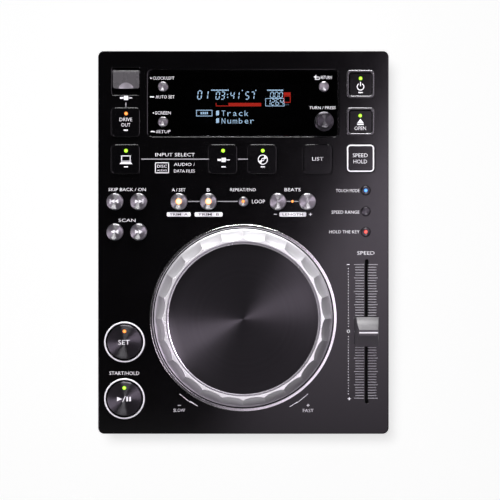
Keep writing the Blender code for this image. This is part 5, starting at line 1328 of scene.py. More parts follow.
class Print:
    """Collects flat signs and words, then makes one piece for each body and ink."""

    def __init__(self):
        self.shells = {}
        self.words = []
        self.thickness = bpy.context.scene.player_print.thickness

    def low(self, body, lift):
        return LEVELS.get(body, PANEL_Z) + lift * self.thickness

    def pixels(self, points, body="case", ink="light", lift=0):
        """A sign whose outline runs along picture points."""
        low = self.low(body, lift)
        shell = prism([spot(x, y) for x, y in points], low, low + self.thickness)
        self.shells.setdefault((body, ink), []).append(shell)

    def bar(self, x, y, width, height, **more):
        left, right, upper, lower = x - width / 2, x + width / 2, y - height / 2, y + height / 2
        self.pixels([(right, upper), (left, upper), (left, lower), (right, lower)], **more)

    def stroke(self, points, width, **more):
        """A line of even width along picture points."""
        for (x0, y0), (x1, y1) in zip(points, points[1:]):
            away = math.hypot(x1 - x0, y1 - y0)
            u, v = (x1 - x0) / away * width / 2, (y1 - y0) / away * width / 2
            start = [(x0 - u + v, y0 - v - u), (x0 - u - v, y0 - v + u)]
            self.pixels([*start, (x1 + u - v, y1 + v + u), (x1 + u + v, y1 + v - u)], **more)

    def arc(self, x, y, radius, width, start, end, steps=18, **more):
        """A ring or part of one, its angles in degrees from the picture's right, turning down."""
        turns = [math.radians(start + (end - start) * step / steps) for step in range(steps + 1)]
        inner, outer = (
            [(x + away * math.cos(turn), y + away * math.sin(turn)) for turn in turns]
            for away in (radius - width / 2, radius + width / 2)
        )
        for step in range(steps):
            self.pixels([inner[step], outer[step], outer[step + 1], inner[step + 1]], **more)

    def word(self, text, x, y, height, width, body="case", ink="light", lift=0):
        self.words.append((text, x, y, height, width, body, ink, lift))

    def word_meshes(self):
        """Each word as a closed mesh, converted from a font curve and set in its place."""
        things = []
        for text, *_, ink, _ in self.words:
            curve = bpy.data.curves.new("word", "FONT")
            curve.body = text
            curve.resolution_u = 2
            curve.extrude = 0.01
            curve.offset = DARK_SPREAD if ink == "dark" else LIGHT_SPREAD
            things.append(place_object("word", curve))
        view = bpy.context.evaluated_depsgraph_get()
        meshes = []
        for thing, (_, x, y, height, width, body, ink, lift) in zip(things, self.words):
            mesh = bpy.data.meshes.new_from_object(thing.evaluated_get(view))
            xs, ys = [v.co.x for v in mesh.vertices], [v.co.y for v in mesh.vertices]
            wide = (width * PIXEL) / (max(xs) - min(xs))
            tall = (height * PIXEL) / (max(ys) - min(ys))
            middle_x, middle_y = (max(xs) + min(xs)) / 2, (max(ys) + min(ys)) / 2
            (cx, cy), low = spot(x, y), self.low(body, lift)
            for vertex in mesh.vertices:
                u, v = (vertex.co.x - middle_x) * wide, (vertex.co.y - middle_y) * tall
                vertex.co = (cx + u, cy + v, low + (self.thickness if vertex.co.z > 0 else 0))
            meshes.append(((body, ink), mesh))
            curve = thing.data
            bpy.data.objects.remove(thing)
            bpy.data.curves.remove(curve)
        return meshes

    def make(self):
        words = self.word_meshes()
        for body, ink in sorted({*self.shells, *(key for key, _ in words)}):
            mesh = build_mesh("print", self.shells.get((body, ink), []))

            def gather(form):
                for key, word in words:
                    if key == (body, ink):
                        form.from_mesh(word)
                bmesh.ops.remove_doubles(form, verts=form.verts, dist=WELD)
                bmesh.ops.recalc_face_normals(form, faces=form.faces)
                for vertex in form.verts:
                    vertex.co.z -= dip(body, vertex.co)

            edit_mesh(mesh, gather)
            mesh.materials.append(ink_finish(ink))
            make_piece(f"print_{ink}_{body}", mesh, None, body)
        for _, mesh in words:
            bpy.data.meshes.remove(mesh)


METAL_KEYS = (*ROUND_KEYS, *WINDOW_KEYS, *MODE_KEYS, *START_KEYS)
LEVELS = {BODY_OF[node]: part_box(node)[1].z for node in (*SQUARE_KEYS, *GUARDED_KEYS, *METAL_KEYS)}
DISHES = {BODY_OF[node]: (ground(node), half_width(node) - KEY_FLANGE_MARGIN - 0.0005) for node in METAL_KEYS}


def dip(body, point):
    """How far a round key's face lies below its rim at a point."""
    if body not in DISHES:
        return 0.0
    centre, rim = DISHES[body]
    away = min(off_axis(point, centre) / rim, 1.0)
    return bpy.context.scene.player_keys.dish * math.cos(away * math.pi / 2)


def print_panel():
    """Words and signs on the panel, the window and the keys."""
    sheet = Print()
    word, bar = sheet.word, sheet.bar

    def plug(x, y, **more):
        """A plug sign: its shell, its collar and its lead."""
        sheet.pixels([(x - 6.2, y - 1.0), (x - 2.6, y - 1.0), (x - 2.6, y + 1.0), (x - 6.2, y + 1.0)], **more)
        sheet.pixels([(x - 2.2, y - 2.1), (x + 2.0, y - 2.1), (x + 2.0, y + 2.1), (x - 2.2, y + 2.1)], **more)
        bar(x + 4.2, y, 3.6, 0.8, **more)

    # Left column
    plug(126.2, 97.9)
    bar(125.9, 104.7, 1.0, 4.4, ink="tick")
    key = BODY_OF["usb_stop_button"]
    word("DRIVE", 126.0, 119.6, 3.5, 12.6, body=key)
    word("OUT", 126.0, 125.0, 3.5, 9.2, body=key)
    bar(125.9, 130.2, 4.2, 1.2, body=key)
    # Window
    bar(150.9, 78.1, 1.2, 1.2)
    word("CLOCK/LEFT", 163.5, 78.1, 3.1, 21.4)
    bar(152.1, 96.9, 4.0, 1.2)
    word("AUTO SET", 165.1, 96.9, 3.1, 19.0)
    bar(153.5, 112.9, 1.2, 1.2)
    word("SCREEN", 163.0, 112.9, 3.1, 15.6)
    bar(152.7, 131.6, 4.0, 1.2)
    word("SETUP", 163.3, 131.6, 3.1, 14.2)
    sheet.pixels([(313.6, 77.0), (316.2, 75.0), (316.2, 79.0)])
    sheet.stroke([(316.0, 77.0), (319.2, 77.0), (319.6, 79.2), (315.4, 79.4)], 0.7)
    word("RETURN", 326.2, 77.4, 3.0, 11.0)
    word("TURN / PRESS", 322.5, 107.7, 2.8, 26.6)
    # Power and eject
    key = BODY_OF["power_button"]
    sheet.arc(360.4, 86.9, 3.3, 0.95, -60, 240, 22, body=key)
    bar(360.4, 84.2, 0.95, 4.4, body=key)
    bar(360.4, 92.7, 4.4, 1.2, body=key)
    key = BODY_OF["eject_button"]
    sheet.pixels([(356.9, 123.2), (363.7, 123.2), (360.3, 119.0)], body=key)
    bar(360.3, 124.5, 6.8, 1.4, body=key)
    word("OPEN", 360.1, 128.4, 3.5, 11.4, body=key)
    # Source row
    key = BODY_OF["source_computer_button"]
    sheet.stroke([(121.4, 156.0), (130.7, 156.0)], 0.8, body=key)
    sheet.stroke([(121.8, 156.4), (121.8, 161.6)], 0.8, body=key)
    sheet.stroke([(130.3, 156.4), (130.3, 161.6)], 0.8, body=key)
    sheet.stroke([(121.4, 161.2), (130.7, 161.2)], 0.7, body=key)
    sheet.pixels([(121.2, 162.2), (130.9, 162.2), (132.5, 164.2), (119.6, 164.2)], body=key)
    plug(223.8, 160.0, body=BODY_OF["source_usb_button"])
    key = BODY_OF["source_disc_button"]
    sheet.arc(262.8, 159.7, 4.6, 0.8, 0, 360, 32, body=key)
    sheet.arc(262.8, 159.7, 2.7, 3.0, 115, 160, 8, body=key)
    sheet.arc(262.8, 159.7, 2.7, 3.0, -65, -20, 8, body=key)
    sheet.arc(262.8, 159.7, 1.2, 0.6, 0, 360, 16, body=key)
    for name, x in (("source_computer_button", 126.0), ("source_usb_button", 223.5), ("source_disc_button", 262.8)):
        bar(x, 166.9, 4.2, 1.1, body=BODY_OF[name])
    word("LIST", 317.7, 158.9, 3.5, 11.0, body=BODY_OF["playlist_button"])
    bar(175.0, 159.1, 67.6, 1.1, ink="tick")
    bar(242.9, 159.1, 10.0, 1.1, ink="tick")
    word("INPUT SELECT", 175.1, 154.7, 3.3, 39.4)
    sheet.stroke([(155.4, 162.8), (168.6, 162.8)], 0.8)
    sheet.stroke([(155.4, 172.8), (168.6, 172.8)], 0.8)
    sheet.stroke([(155.4, 162.8), (155.4, 172.8)], 0.8)
    sheet.stroke([(168.6, 162.8), (168.6, 172.8)], 0.8)
    word("DISC", 162.0, 166.2, 2.9, 9.8)
    word("AUDIO", 162.0, 170.4, 1.9, 9.8)
    word("AUDIO /", 184.4, 164.4, 3.0, 20.8)
    word("DATA FILES", 184.4, 171.0, 3.0, 20.8)
    key = BODY_OF["tempo_lock_button"]
    word("SPEED", 360.1, 155.4, 3.8, 15.0, body=key)
    word("HOLD", 360.1, 161.6, 3.8, 13.6, body=key)
    # Track, search and loop rows
    word("SKIP BACK / ON", 127.1, 189.5, 3.2, 37.6)
    word("SCAN", 127.0, 220.3, 3.2, 17.0)
    for name, x, y, sign, stop in (
        ("track_back_button", 114.9, 201.4, -1, 1),
        ("track_forward_button", 138.7, 201.4, 1, 1),
        ("search_back_button", 115.1, 231.8, -1, 0),
        ("search_forward_button", 138.8, 231.8, 1, 0),
    ):
        for shift in (-3.6, 0.2):
            tip, tail = x + sign * (shift + 3.8), x + sign * shift
            sheet.pixels([(tail, y - 2.1), (tail, y + 2.1), (tip, y)], body=BODY_OF[name])
        if stop:
            bar(x + sign * 4.4, y, 0.9, 4.2, body=BODY_OF[name])
    word("A / SET", 178.7, 189.8, 3.2, 13.6)
    word("B", 208.4, 189.8, 3.2, 3.0)
    word("REPEAT/END", 243.0, 189.7, 3.0, 25.6)
    bar(193.8, 201.4, 12.0, 0.9, ink="tick")
    bar(227.7, 201.4, 20.4, 0.9, ink="tick")
    word("LOOP", 258.5, 201.5, 3.8, 13.0)
    word("BEATS", 292.6, 189.7, 3.2, 16.0)
    bar(288.4, 201.4, 4.6, 0.9, ink="tick")
    bar(296.4, 201.4, 4.4, 0.9, ink="tick")
    for text, x, wide in (("TRIM  A", 178.7, 23.9), ("TRIM  B", 208.6, 27.9), ("LENGTH", 292.8, 26.9)):
        left, right = x - wide / 2, x + wide / 2
        start = [(right - 0.8, 212.2), (left + 0.8, 212.2), (left, 213.0), (left, 215.8)]
        sheet.pixels([*start, (left + 0.8, 216.6), (right - 0.8, 216.6), (right, 215.8), (right, 213.0)])
        word(text, x, 214.4, 2.3, wide * 0.76, ink="dark", lift=1)
    bar(275.4, 214.3, 3.0, 0.8)
    bar(310.4, 214.3, 3.0, 0.8)
    bar(310.4, 214.3, 0.8, 3.0, lift=0.01)
    # Mode keys and fader
    word("TOUCH MODE", 347.7, 190.6, 3.1, 23.4)
    word("SPEED RANGE", 345.5, 212.1, 3.1, 27.9)
    word("HOLD THE KEY", 344.4, 231.8, 3.1, 30.1)
    word("SPEED", 365.9, 253.0, 3.5, 17.2)
    bar(348.3, 264.5, 2.8, 0.8)
    word("0", 348.4, 331.3, 3.4, 2.9)
    bar(349.2, 398.6, 2.9, 0.8)
    bar(349.2, 398.6, 0.8, 2.9, lift=0.01)
    # Start keys
    word("SET", 124.1, 342.3, 4.7, 11.6, body=BODY_OF["cue_button"])
    word("START/HOLD", 124.3, 373.2, 3.5, 29.8)
    key = BODY_OF["play_button"]
    sheet.pixels([(117.1, 396.6), (117.1, 401.1), (122.1, 398.9)], body=key)
    sheet.stroke([(122.9, 401.5), (125.3, 396.2)], 0.7, body=key)
    bar(127.3, 398.9, 1.7, 4.5, body=key)
    bar(130.2, 398.9, 1.7, 4.5, body=key)
    # Arrows round the jog wheel
    for tail, bend, tip, barb in (
        ((179.9, 394.2), (188.8, 401.2), (197.4, 405.8), (191.2, 401.2)),
        ((307.9, 394.0), (298.6, 401.6), (289.9, 406.6), (296.4, 402.0)),
    ):
        sheet.stroke([tail, bend, tip], 0.65)
        sheet.pixels([tip, bend, barb], lift=0.01)
    bar(179.4, 405.4, 3.2, 0.7)
    word("SLOW", 179.2, 410.3, 3.3, 11.6)
    bar(308.1, 405.4, 3.0, 0.7)
    bar(308.1, 405.4, 0.7, 3.0, lift=0.01)
    word("FAST", 308.2, 410.5, 3.3, 10.6)
    # The white outline on the lock key's face
    low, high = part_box("tempo_lock_button")
    mid, inset = (low + high) / 2, KEY_FLANGE_MARGIN + 0.0004
    rings = []
    for grow, z in ((0, high.z), (0, high.z + sheet.thickness), (-0.001, high.z + sheet.thickness), (-0.001, high.z)):
        size = [high[axis] - low[axis] - 2 * inset + 2 * grow for axis in (0, 1)]
        rings.append(rounded(size[0], size[1], 0.0028 + grow, z, centre=(mid.x, mid.y, 0)))
    sheet.shells.setdefault((BODY_OF["tempo_lock_button"], "light"), []).append((rings, True))
    sheet.make()


def print_scales():
    """The fader's two rows of ticks and its dotted line, drawn by a geometry tree."""
    tree = scale_tree()
    fader, fine = middle("tempo_fader_body"), 0.8 * PIXEL
    ticks, pitch, dots = 51, 0.002008, 22
    rows = []
    for name, side, x, reach in (("left", -1.0, 364.0, 8.7), ("right", 1.0, 367.8, 8.6)):
        start = (spot(x, 0)[0], fader.y - 0.0502, PANEL_Z)
        rows.append((f"fader_scale_{name}", ticks, start, pitch, reach * PIXEL, 1.15, side, "tick"))
    for name, upper, lower in (("upper", 268.5, 326.5), ("lower", 336.5, 393.8)):
        start = (*spot(348.4, lower), PANEL_Z)
        gap = (lower - upper) * PIXEL / (dots - 1)
        rows.append((f"fader_dots_{name}", dots, start, gap, fine, 1.0, 0.0, "light"))
    for name, count, start, pitch, reach, share, side, ink in rows:
        values = {"Count": count, "Start": start, "Pitch": pitch, "Tick Length": reach, "Long Share": share}
        values.update({"Long Every": 5, "Tick Width": fine, "Side": side, "Finish": ink_finish(ink)})
        values["Ink Height"] = bpy.context.scene.player_print.thickness
        thing = run_nodes(place_object(name, bpy.data.meshes.new(name)), tree, values)
        make_piece(name, thing, None, "case")


def make_lamps():
    """The small indicator lamps in the keys and the panel."""
    settings = bpy.context.scene.player_print
    table = (
        ("usb_stop", "usb_stop_button", 126.2, 113.7, 1.8, "orange"),
        ("power", "power_button", 360.5, 78.6, 1.8, "green"),
        ("eject", "eject_button", 360.1, 115.8, 1.8, "green"),
        ("source_computer", "source_computer_button", 126.1, 150.8, 1.9, "green"),
        ("source_usb", "source_usb_button", 223.1, 150.8, 1.9, "green"),
        ("source_disc", "source_disc_button", 262.8, 150.8, 1.9, "green"),
        ("loop_in", "loop_in_button", 178.8, 201.5, 3.6, "orange"),
        ("loop_out", "loop_out_button", 208.5, 201.5, 3.6, "orange"),
        ("loop_exit", "loop_exit_button", 243.1, 201.4, 1.7, "orange"),
        ("loop_length", None, 292.4, 201.4, 1.3, "orange"),
        ("cue", "cue_button", 124.6, 331.2, 1.9, "orange"),
        ("play", "play_button", 124.4, 387.8, 1.9, "green"),
        ("touch_mode", "touch_mode_button", 365.7, 190.5, 2.1, "blue"),
        ("key_hold", "key_hold_button", 365.7, 231.8, 2.1, "red"),
    )
    dome = ((1, 0), (1, 0.00008), (0.8, 0.0002), (0.45, 0.00028), (0.0, 0.0003))
    sunk, large_lens = 0.00005, 3
    for name, node, x, y, radius, shade in table:
        body = BODY_OF[node] if node else "case"
        place = Vector((*spot(x, y), 0))
        level = LEVELS.get(body, PANEL_Z) - sunk - dip(body, place)
        profile = [(radius * PIXEL * share, level + z) for share, z in dome]
        mesh = build_mesh(f"{name}_lamp", [turned(profile, 20, centre=place)], 60)
        light = getattr(settings, shade)
        if radius > large_lens:
            lens = glowing("Lit key lens", light, settings.glow * 1.6, 0.0011, 0.0027, 0.32)
        else:
            lens = glowing(f"Lamp {shade}", light, settings.glow * 1.3, 0.0002, 0.0014, 0.08)
        make_piece(f"{name}_lamp", mesh, lens, body, (), (place.x, place.y, level))


SEGMENTS = {
    "0": "abcdef", "1": "bc", "2": "abged", "3": "abgcd", "4": "fgbc",
    "5": "afgcd", "6": "afgedc", "7": "abc", "8": "abcdefg", "9": "abcdfg",
}


def digit_shells(text, x, y, wide, tall, thick, low, high):
    """A seven-segment figure as prisms, by picture places of its upper left corner."""
    half = tall / 2
    slant = 0.12
    bars = {
        "a": ((0, 0), (wide, 0)),
        "b": ((wide, 0), (wide, half)),
        "c": ((wide, half), (wide, tall)),
        "d": ((0, tall), (wide, tall)),
        "e": ((0, half), (0, tall)),
        "f": ((0, 0), (0, half)),
        "g": ((0, half), (wide, half)),
    }
    gap, t = thick * 0.35, thick / 2
    shells = []
    for name in SEGMENTS[text]:
        (x0, y0), (x1, y1) = bars[name]
        away = math.hypot(x1 - x0, y1 - y0)
        u, v = (x1 - x0) / away, (y1 - y0) / away
        corners = [
            (x0 + u * gap, y0 + v * gap),
            (x0 + u * (gap + t) - v * t, y0 + v * (gap + t) + u * t),
            (x1 - u * (gap + t) - v * t, y1 - v * (gap + t) + u * t),
            (x1 - u * gap, y1 - v * gap),
            (x1 - u * (gap + t) + v * t, y1 - v * (gap + t) - u * t),
            (x0 + u * (gap + t) + v * t, y0 + v * (gap + t) - u * t),
        ]
        shells.append(prism([spot(x + px + slant * (tall - py), y + py) for px, py in corners], low, high))
    return shells


def display_words(low, high):
    """The two lines of letters and their marks."""
    letters = Print()
    letters.thickness = high - low
    for y, line in ((112.8, "Track"), (120.4, "Number")):
        letters.pixels([(216.0, y + 2.2), (216.0, y - 2.4), (218.9, y - 2.8), (218.9, y + 1.8)], body="display")
        for place, sign in enumerate(line):
            tall = 5.4 if sign.isupper() or sign in "kb" else 3.9
            wide = 3.7 if sign != "m" else 4.4
            letters.word(sign, 223.4 + place * 5.75, y + (5.4 - tall) / 2, tall, wide, body="display")
    return letters


def make_display():
    """The figures and bars that glow behind the window."""
    settings = bpy.context.scene.player_print
    low = LEVELS["display"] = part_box("display_module")[1].z + 0.00002
    high = low + 0.00015

    def bar(x0, y0, x1, y1):
        return prism([spot(x1, y0), spot(x0, y0), spot(x0, y1), spot(x1, y1)], low, high)

    def row(x, y, wide, tall, count, pitch):
        return [bar(x + step * pitch, y, x + wide + step * pitch, y + tall) for step in range(count)]

    def frame_box(x0, y0, x1, y1, line=0.6):
        top, foot = bar(x0, y0, x1, y0 + line), bar(x0, y1 - line, x1, y1)
        ends = [bar(x, y0 + line, x + line, y1 - line) for x in (x0, x1 - line)]
        return [top, foot, *ends]

    pale = []
    for text, x, y, wide, tall, thick, pitch in (
        ("0", 197.2, 90.2, 3.6, 8.2, 1.0, 0),
        ("1", 203.6, 90.2, 3.6, 8.2, 1.0, 0),
        ("03", 215.6, 91.4, 3.3, 7.2, 0.9, 5.0),
        ("41", 230.2, 91.4, 3.3, 7.2, 0.9, 5.0),
        ("57", 245.2, 91.4, 3.3, 7.2, 0.9, 5.2),
        ("000", 270.2, 91.5, 3.0, 5.8, 0.8, 4.5),
        ("1264", 266.8, 98.7, 3.0, 5.8, 0.8, 4.4),
    ):
        for place, sign in enumerate(text):
            pale += digit_shells(sign, x + place * pitch, y, wide, tall, thick, low, high)
    pale += [bar(227.0, 93.4, 228.0, 94.4), bar(227.0, 96.2, 228.0, 97.2)]
    pale += [bar(241.8, 89.3, 242.8, 90.4), bar(255.3, 89.3, 256.3, 90.4)]
    pale += row(211.0, 89.0, 1.2, 1.2, 12, 1.5) + row(267.2, 89.0, 1.2, 1.2, 11, 1.5)
    pale += frame_box(265.4, 97.6, 284.6, 105.7, 0.5) + frame_box(196.0, 109.4, 212.2, 115.8)
    pale += row(200.4, 111.4, 1.3, 2.4, 4, 2.0)
    letters = display_words(low, high)
    pale += letters.shells[("display", "light")]
    red = [bar(228.3, 102.4, 261.2, 105.8), bar(215.6, 105.0, 228.0, 105.8), bar(215.6, 102.4, 216.4, 104.8)]
    red += frame_box(283.8, 95.2, 290.8, 102.2, 0.8) + [bar(283.8, 91.8, 290.8, 94.9)]
    faint = tuple(channel * 0.4 for channel in settings.figures)

    def add_letters(form):
        for _, word in letters.word_meshes():
            form.from_mesh(word)
            bpy.data.meshes.remove(word)
        bmesh.ops.remove_doubles(form, verts=form.verts, dist=WELD)

    for name, shells, shade, share in (
        ("pale", pale, settings.figures, 1.0),
        ("red", red, settings.red, 0.5),
        ("dim", row(284.9, 103.4, 1.1, 1.2, 3, 1.5), faint, 0.3),
    ):
        mesh = build_mesh(f"display_{name}", shells)
        if name == "pale":
            edit_mesh(mesh, add_letters)
        label = "Display figures" if name == "pale" else f"Display {name}"
        finish = glowing(label, shade, settings.figure_glow * share)
        make_piece(f"display_{name}", mesh, finish, "case", (), (0, 0, 0))


def dress_nodes():
    """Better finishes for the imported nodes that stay."""
    sheet = bpy.context.scene.player_case.sheet
    board = moulded("Circuit board", (0.012, 0.07, 0.03), 0.4, grain=500.0, depth=0.00002, vary=0.2)
    zinc = moulded("Zinc plated steel", (0.42, 0.42, 0.44), 0.34, 0.9, grain=700.0, depth=0.00001, vary=0.1)
    dark_steel = moulded("Blackened steel", (0.006, 0.006, 0.0065), 0.5, 0.3, grain=900.0, depth=0.00001)
    brass = moulded("Bearing brass", (0.55, 0.4, 0.16), 0.3, 1.0, grain=1500.0, depth=0.000006)
    glass = moulded("Display module glass", (0.004, 0.005, 0.006), 0.3, grain=1200.0, depth=0.000004)
    rubber = moulded("Roller rubber", (0.02, 0.02, 0.02), 0.85, grain=900.0, depth=0.00005)
    felt = moulded("Slot felt", (0.008, 0.008, 0.009), 0.95, grain=1800.0, depth=0.00012, sheen_weight=0.4)
    table = {
        ("bottom_case",): moulded("Painted sheet steel", sheet, 0.5, 0.1, grain=1400.0, depth=0.00004),
        ("mains_inlet",): socket_finish(),
        ("computer_socket", "usb_socket", "jog_spindle", "jog_encoder_disc", "select_shaft", "drive_chassis"): zinc,
        ("jog_bearing", "lead_screw"): brass,
        ("tempo_fader_body", "tempo_fader_lever"): dark_steel,
        ("key_board", "main_board", "power_board"): board,
        ("display_module",): glass,
        ("disc_turntable",): moulded("Turntable moulding", (0.01, 0.01, 0.011), 0.45),
        ("pickup_sled",): moulded("Sled moulding", (0.015, 0.015, 0.017), 0.5, 0.3),
        ("loading_roller",): rubber,
        ("slot_felt",): felt,
    }
    for names, finish in table.items():
        for name in names:
            coat(frame["nodes"][name].data, finish)


# The stage


def aim(thing, target):
    thing.rotation_euler = (Vector(target) - thing.location).to_track_quat("-Z", "Y").to_euler()


def make_lamp(name, place, target, size, power, glossy=True, tint=(1, 1, 1)):
    lamp = bpy.data.lights.new(name, "AREA")
    lamp.shape = "RECTANGLE"
    lamp.size, lamp.size_y = size
    lamp.energy = power
    thing = place_object(name, lamp)
    thing.location = place
    thing.visible_glossy = thing.visible_transmission = glossy
    lamp.color = tint
    aim(thing, target)
    return thing


LILAC = (0.96, 0.84, 1.0)


def make_softbox(power):
    """The large softbox overhead: its slanting edge shows in the panel, and it is dimmer to the front."""
    thing = make_lamp("softbox", (0.468, -0.218, 1.288), (0.468, -0.218, 0), (0.8, 1.8), power, tint=LILAC)
    thing.rotation_euler = (0, 0, math.radians(-27.8))
    thing.data.use_nodes = True
    tree = thing.data.node_tree
    place = add_node(tree, "ShaderNodeNewGeometry").outputs["Position"]
    parts = add_node(tree, "ShaderNodeSeparateXYZ", {0: place})
    fall = range_node(tree, parts.outputs["Y"], (-0.36, 0.12), (0.22, 1.06))
    feed(tree, tree.nodes["Emission"], {"Strength": fall})
    return thing


def link_lamp(lamp, things, state="EXCLUDE"):
    """Keeps a lamp off some things, or on them alone. Only the small lamp above lights the floor."""
    group = bpy.data.collections.new(f"{lamp.name} {state}")
    for thing in things:
        group.objects.link(thing)
    for member in group.collection_objects:
        member.light_linking.link_state = state
    lamp.light_linking.receiver_collection = group


def make_world(sky):
    """A horizon that lights the player, dimmer from the right, and plain white where the camera sees it."""
    world = bpy.data.worlds.new("Studio")
    bpy.context.scene.world = world
    world.use_nodes = True
    tree = world.node_tree
    tree.nodes.clear()
    heading = add_node(tree, "ShaderNodeTexCoord").outputs["Generated"]
    parts = add_node(tree, "ShaderNodeSeparateXYZ", {0: heading}).outputs
    fall = range_node(tree, parts["Z"], (0.0, 0.6), (sky, 0.01))
    aside = range_node(tree, parts["X"], (-0.1, 0.9), (1.0, 0.3))
    white = (1, 1, 1, 1)
    strength = math_node(tree, "MULTIPLY", fall, aside)
    lit = add_node(tree, "ShaderNodeBackground", {"Color": white, "Strength": strength})
    seen = add_node(tree, "ShaderNodeBackground", {"Color": white, "Strength": 1.0})
    by_camera = add_node(tree, "ShaderNodeLightPath").outputs["Is Camera Ray"]
    mixed = add_node(tree, "ShaderNodeMixShader", {0: by_camera, 1: lit, 2: seen})
    add_node(tree, "ShaderNodeOutputWorld", {"Surface": mixed})


def make_floor(share):
    """A wide floor, which gives back a share of its white in shadow too where the camera sees it."""
    mesh = build_mesh("floor", [box_shell((-4, -4, -0.02), (4, 4, -0.00005))])
    floor = place_object("floor", mesh)
    finish = bpy.data.materials.new("Pale floor")
    finish.use_nodes = True
    tree = finish.node_tree
    tree.nodes.clear()
    path = add_node(tree, "ShaderNodeLightPath").outputs
    seen = math_node(tree, "MAXIMUM", path["Is Camera Ray"], path["Is Glossy Ray"])
    seen = math_node(tree, "MAXIMUM", seen, path["Is Transmission Ray"])
    plain = add_node(tree, "ShaderNodeBsdfDiffuse", {"Color": (0.75, 0.75, 0.75, 1)})
    shaded = add_node(tree, "ShaderNodeBsdfDiffuse", {"Color": (0.8, 0.8, 0.8, 1)})
    glow = add_node(tree, "ShaderNodeEmission", {"Color": (1, 1, 1, 1), "Strength": share})
    both = add_node(tree, "ShaderNodeAddShader", {0: shaded, 1: glow})
    mixed = add_node(tree, "ShaderNodeMixShader", {0: seen, 1: plain, 2: both})
    add_node(tree, "ShaderNodeOutputMaterial", {"Surface": mixed})
    mesh.materials.append(finish)
    return floor


def make_camera(stage):
    camera = bpy.data.cameras.new("overhead")
    camera.sensor_width = 36
    camera.lens = 36 * stage.distance / stage.view
    camera.clip_start = 0.05
    thing = place_object("overhead", camera)
    thing.location = (stage.camera_x, stage.camera_y, PANEL_Z + stage.distance)
    bpy.context.scene.camera = thing


# Operators


class PLAYER_OT_stage(bpy.types.Operator):
    """Set the camera, the lamps, the world and the floor"""

    bl_idname = "player.stage"
    bl_label = "Stage"

    def execute(self, context):
        stage = context.scene.player_stage
        context.scene.view_settings.view_transform = "Standard"
        make_camera(stage)
        make_world(stage.sky)
        floor = make_floor(stage.floor)
        box = make_softbox(stage.box_power)
        make_lamp("top_lamp", (-0.075, 0.1, 1.25), (0.0, 0.0, 0.08), (0.15, 0.15), stage.top_power, False)
        front = make_lamp("front_panel", (0.0, -0.62, 1.288), (0.0, -0.62, 0.0), (2.0, 0.6), stage.front_power)
        rear = make_lamp("rear_lamp", (0.02, 1.15, 0.36), (0.0, 0.0, 0.1), (0.9, 0.35), stage.rear_power)
        place = (-0.91, -0.45, 0.64)
        fill = make_lamp("fill_lamp", place, (0.0, 0.0, 0.08), (0.5, 0.4), stage.fill_power, tint=LILAC)
        plate = bpy.data.objects["spun_plate"]
        place = (-0.91, -0.42, 0.64)
        glint = make_lamp("plate_lamp", place, (0.0, 0.0, 0.1), (0.5, 0.8), stage.plate_power, tint=LILAC)
        for lamp in (box, front, fill):
            link_lamp(lamp, [floor])
        link_lamp(rear, [floor, plate])
        link_lamp(glint, [plate], "INCLUDE")
        return {"FINISHED"}


class PLAYER_OT_case(bpy.types.Operator):
    """Make the upper case with its well, seats, holes and guards"""

    bl_idname = "player.case"
    bl_label = "Upper case"

    def execute(self, context):
        make_panel_case()
        return {"FINISHED"}


class PLAYER_OT_window(bpy.types.Operator):
    """Make the display window"""

    bl_idname = "player.window"
    bl_label = "Window"

    def execute(self, context):
        make_window()
        return {"FINISHED"}


class PLAYER_OT_flap(bpy.types.Operator):
    """Make the dust flap"""

    bl_idname = "player.flap"
    bl_label = "Dust flap"

    def execute(self, context):
        make_flap()
        return {"FINISHED"}


class PLAYER_OT_feet(bpy.types.Operator):
    """Make the rubber feet"""

    bl_idname = "player.feet"
    bl_label = "Feet"

    def execute(self, context):
        make_feet()
        return {"FINISHED"}


class PLAYER_OT_screws(bpy.types.Operator):
    """Make the screws under the base and on the rear panel"""

    bl_idname = "player.screws"
    bl_label = "Screws"

    def execute(self, context):
        make_screws()
        return {"FINISHED"}


class PLAYER_OT_sockets(bpy.types.Operator):
    """Make the audio and control sockets"""

    bl_idname = "player.sockets"
    bl_label = "Sockets"

    def execute(self, context):
        make_audio_sockets()
        return {"FINISHED"}


class PLAYER_OT_jog_wheel(bpy.types.Operator):
    """Make the fluted jog wheel"""

    bl_idname = "player.jog_wheel"
    bl_label = "Jog wheel"

    def execute(self, context):
        make_jog_wheel()
        return {"FINISHED"}


class PLAYER_OT_jog_plate(bpy.types.Operator):
    """Make the wheel's spun top plate"""

    bl_idname = "player.jog_plate"
    bl_label = "Jog top plate"

    def execute(self, context):
        make_jog_plate()
        return {"FINISHED"}


class PLAYER_OT_jog_trim(bpy.types.Operator):
    """Make the plated ring round the wheel"""

    bl_idname = "player.jog_trim"
    bl_label = "Jog trim"

    def execute(self, context):
        make_jog_trim()
        return {"FINISHED"}


class PLAYER_OT_square_keys(bpy.types.Operator):
    """Make the square and the guarded keys"""

    bl_idname = "player.square_keys"
    bl_label = "Square keys"

    def execute(self, context):
        make_square_keys()
        return {"FINISHED"}


class PLAYER_OT_round_keys(bpy.types.Operator):
    """Make the round keys"""

    bl_idname = "player.round_keys"
    bl_label = "Round keys"

    def execute(self, context):
        make_round_keys()
        make_start_trims()
        return {"FINISHED"}


class PLAYER_OT_knob(bpy.types.Operator):
    """Make the push-turn knob"""

    bl_idname = "player.knob"
    bl_label = "Knob"

    def execute(self, context):
        make_knob()
        return {"FINISHED"}


class PLAYER_OT_fader(bpy.types.Operator):
    """Make the fader's cap and its printed scale"""

    bl_idname = "player.fader"
    bl_label = "Fader"

    def execute(self, context):
        make_fader_cap()
        print_scales()
        return {"FINISHED"}


class PLAYER_OT_print(bpy.types.Operator):
    """Print the words and signs"""

    bl_idname = "player.print_words"
    bl_label = "Print"

    def execute(self, context):
        print_panel()
        return {"FINISHED"}


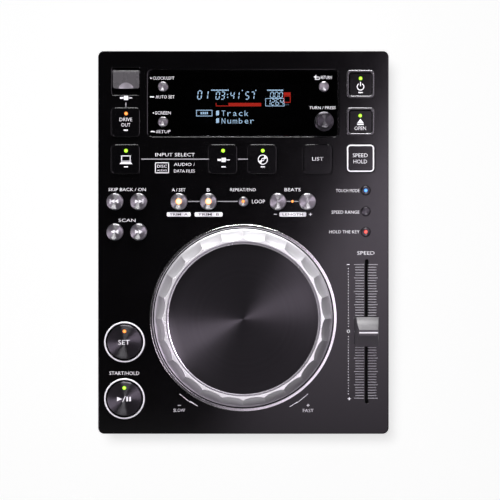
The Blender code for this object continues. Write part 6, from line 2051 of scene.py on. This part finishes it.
class PLAYER_OT_lamps(bpy.types.Operator):
    """Make the indicator lamps"""

    bl_idname = "player.lamps"
    bl_label = "Indicator lamps"

    def execute(self, context):
        make_lamps()
        return {"FINISHED"}


class PLAYER_OT_display(bpy.types.Operator):
    """Make the figures behind the window"""

    bl_idname = "player.display"
    bl_label = "Display figures"

    def execute(self, context):
        make_display()
        return {"FINISHED"}


class PLAYER_OT_dress(bpy.types.Operator):
    """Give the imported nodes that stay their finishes"""

    bl_idname = "player.dress"
    bl_label = "Packed nodes"

    def execute(self, context):
        dress_nodes()
        return {"FINISHED"}


OPERATORS = (
    PLAYER_OT_case,
    PLAYER_OT_window,
    PLAYER_OT_flap,
    PLAYER_OT_feet,
    PLAYER_OT_screws,
    PLAYER_OT_sockets,
    PLAYER_OT_jog_wheel,
    PLAYER_OT_jog_plate,
    PLAYER_OT_jog_trim,
    PLAYER_OT_square_keys,
    PLAYER_OT_round_keys,
    PLAYER_OT_knob,
    PLAYER_OT_fader,
    PLAYER_OT_print,
    PLAYER_OT_lamps,
    PLAYER_OT_display,
    PLAYER_OT_dress,
    PLAYER_OT_stage,
)


class PLAYER_PT_sidebar(bpy.types.Panel):
    """Lists the steps and their sizes"""

    bl_label = "Disc Player"
    bl_space_type = "VIEW_3D"
    bl_region_type = "UI"
    bl_category = "Disc Player"

    def draw(self, context):
        for operator in OPERATORS:
            self.layout.operator(operator.bl_idname)
        for name in SETTINGS:
            settings = getattr(context.scene, name)
            section = self.layout.box()
            for item in settings.__annotations__:
                section.prop(settings, item)


def register():
    for name, settings in SETTINGS.items():
        bpy.utils.register_class(settings)
        setattr(bpy.types.Scene, name, bpy.props.PointerProperty(type=settings))
    for operator in OPERATORS:
        bpy.utils.register_class(operator)
    bpy.utils.register_class(PLAYER_PT_sidebar)


def unregister():
    bpy.utils.unregister_class(PLAYER_PT_sidebar)
    for operator in reversed(OPERATORS):
        bpy.utils.unregister_class(operator)
    for name, settings in SETTINGS.items():
        delattr(bpy.types.Scene, name)
        bpy.utils.unregister_class(settings)


def main():
    register()
    for operator in OPERATORS:
        family, name = operator.bl_idname.split(".")
        getattr(getattr(bpy.ops, family), name)()


if __name__ == "__main__":
    main()
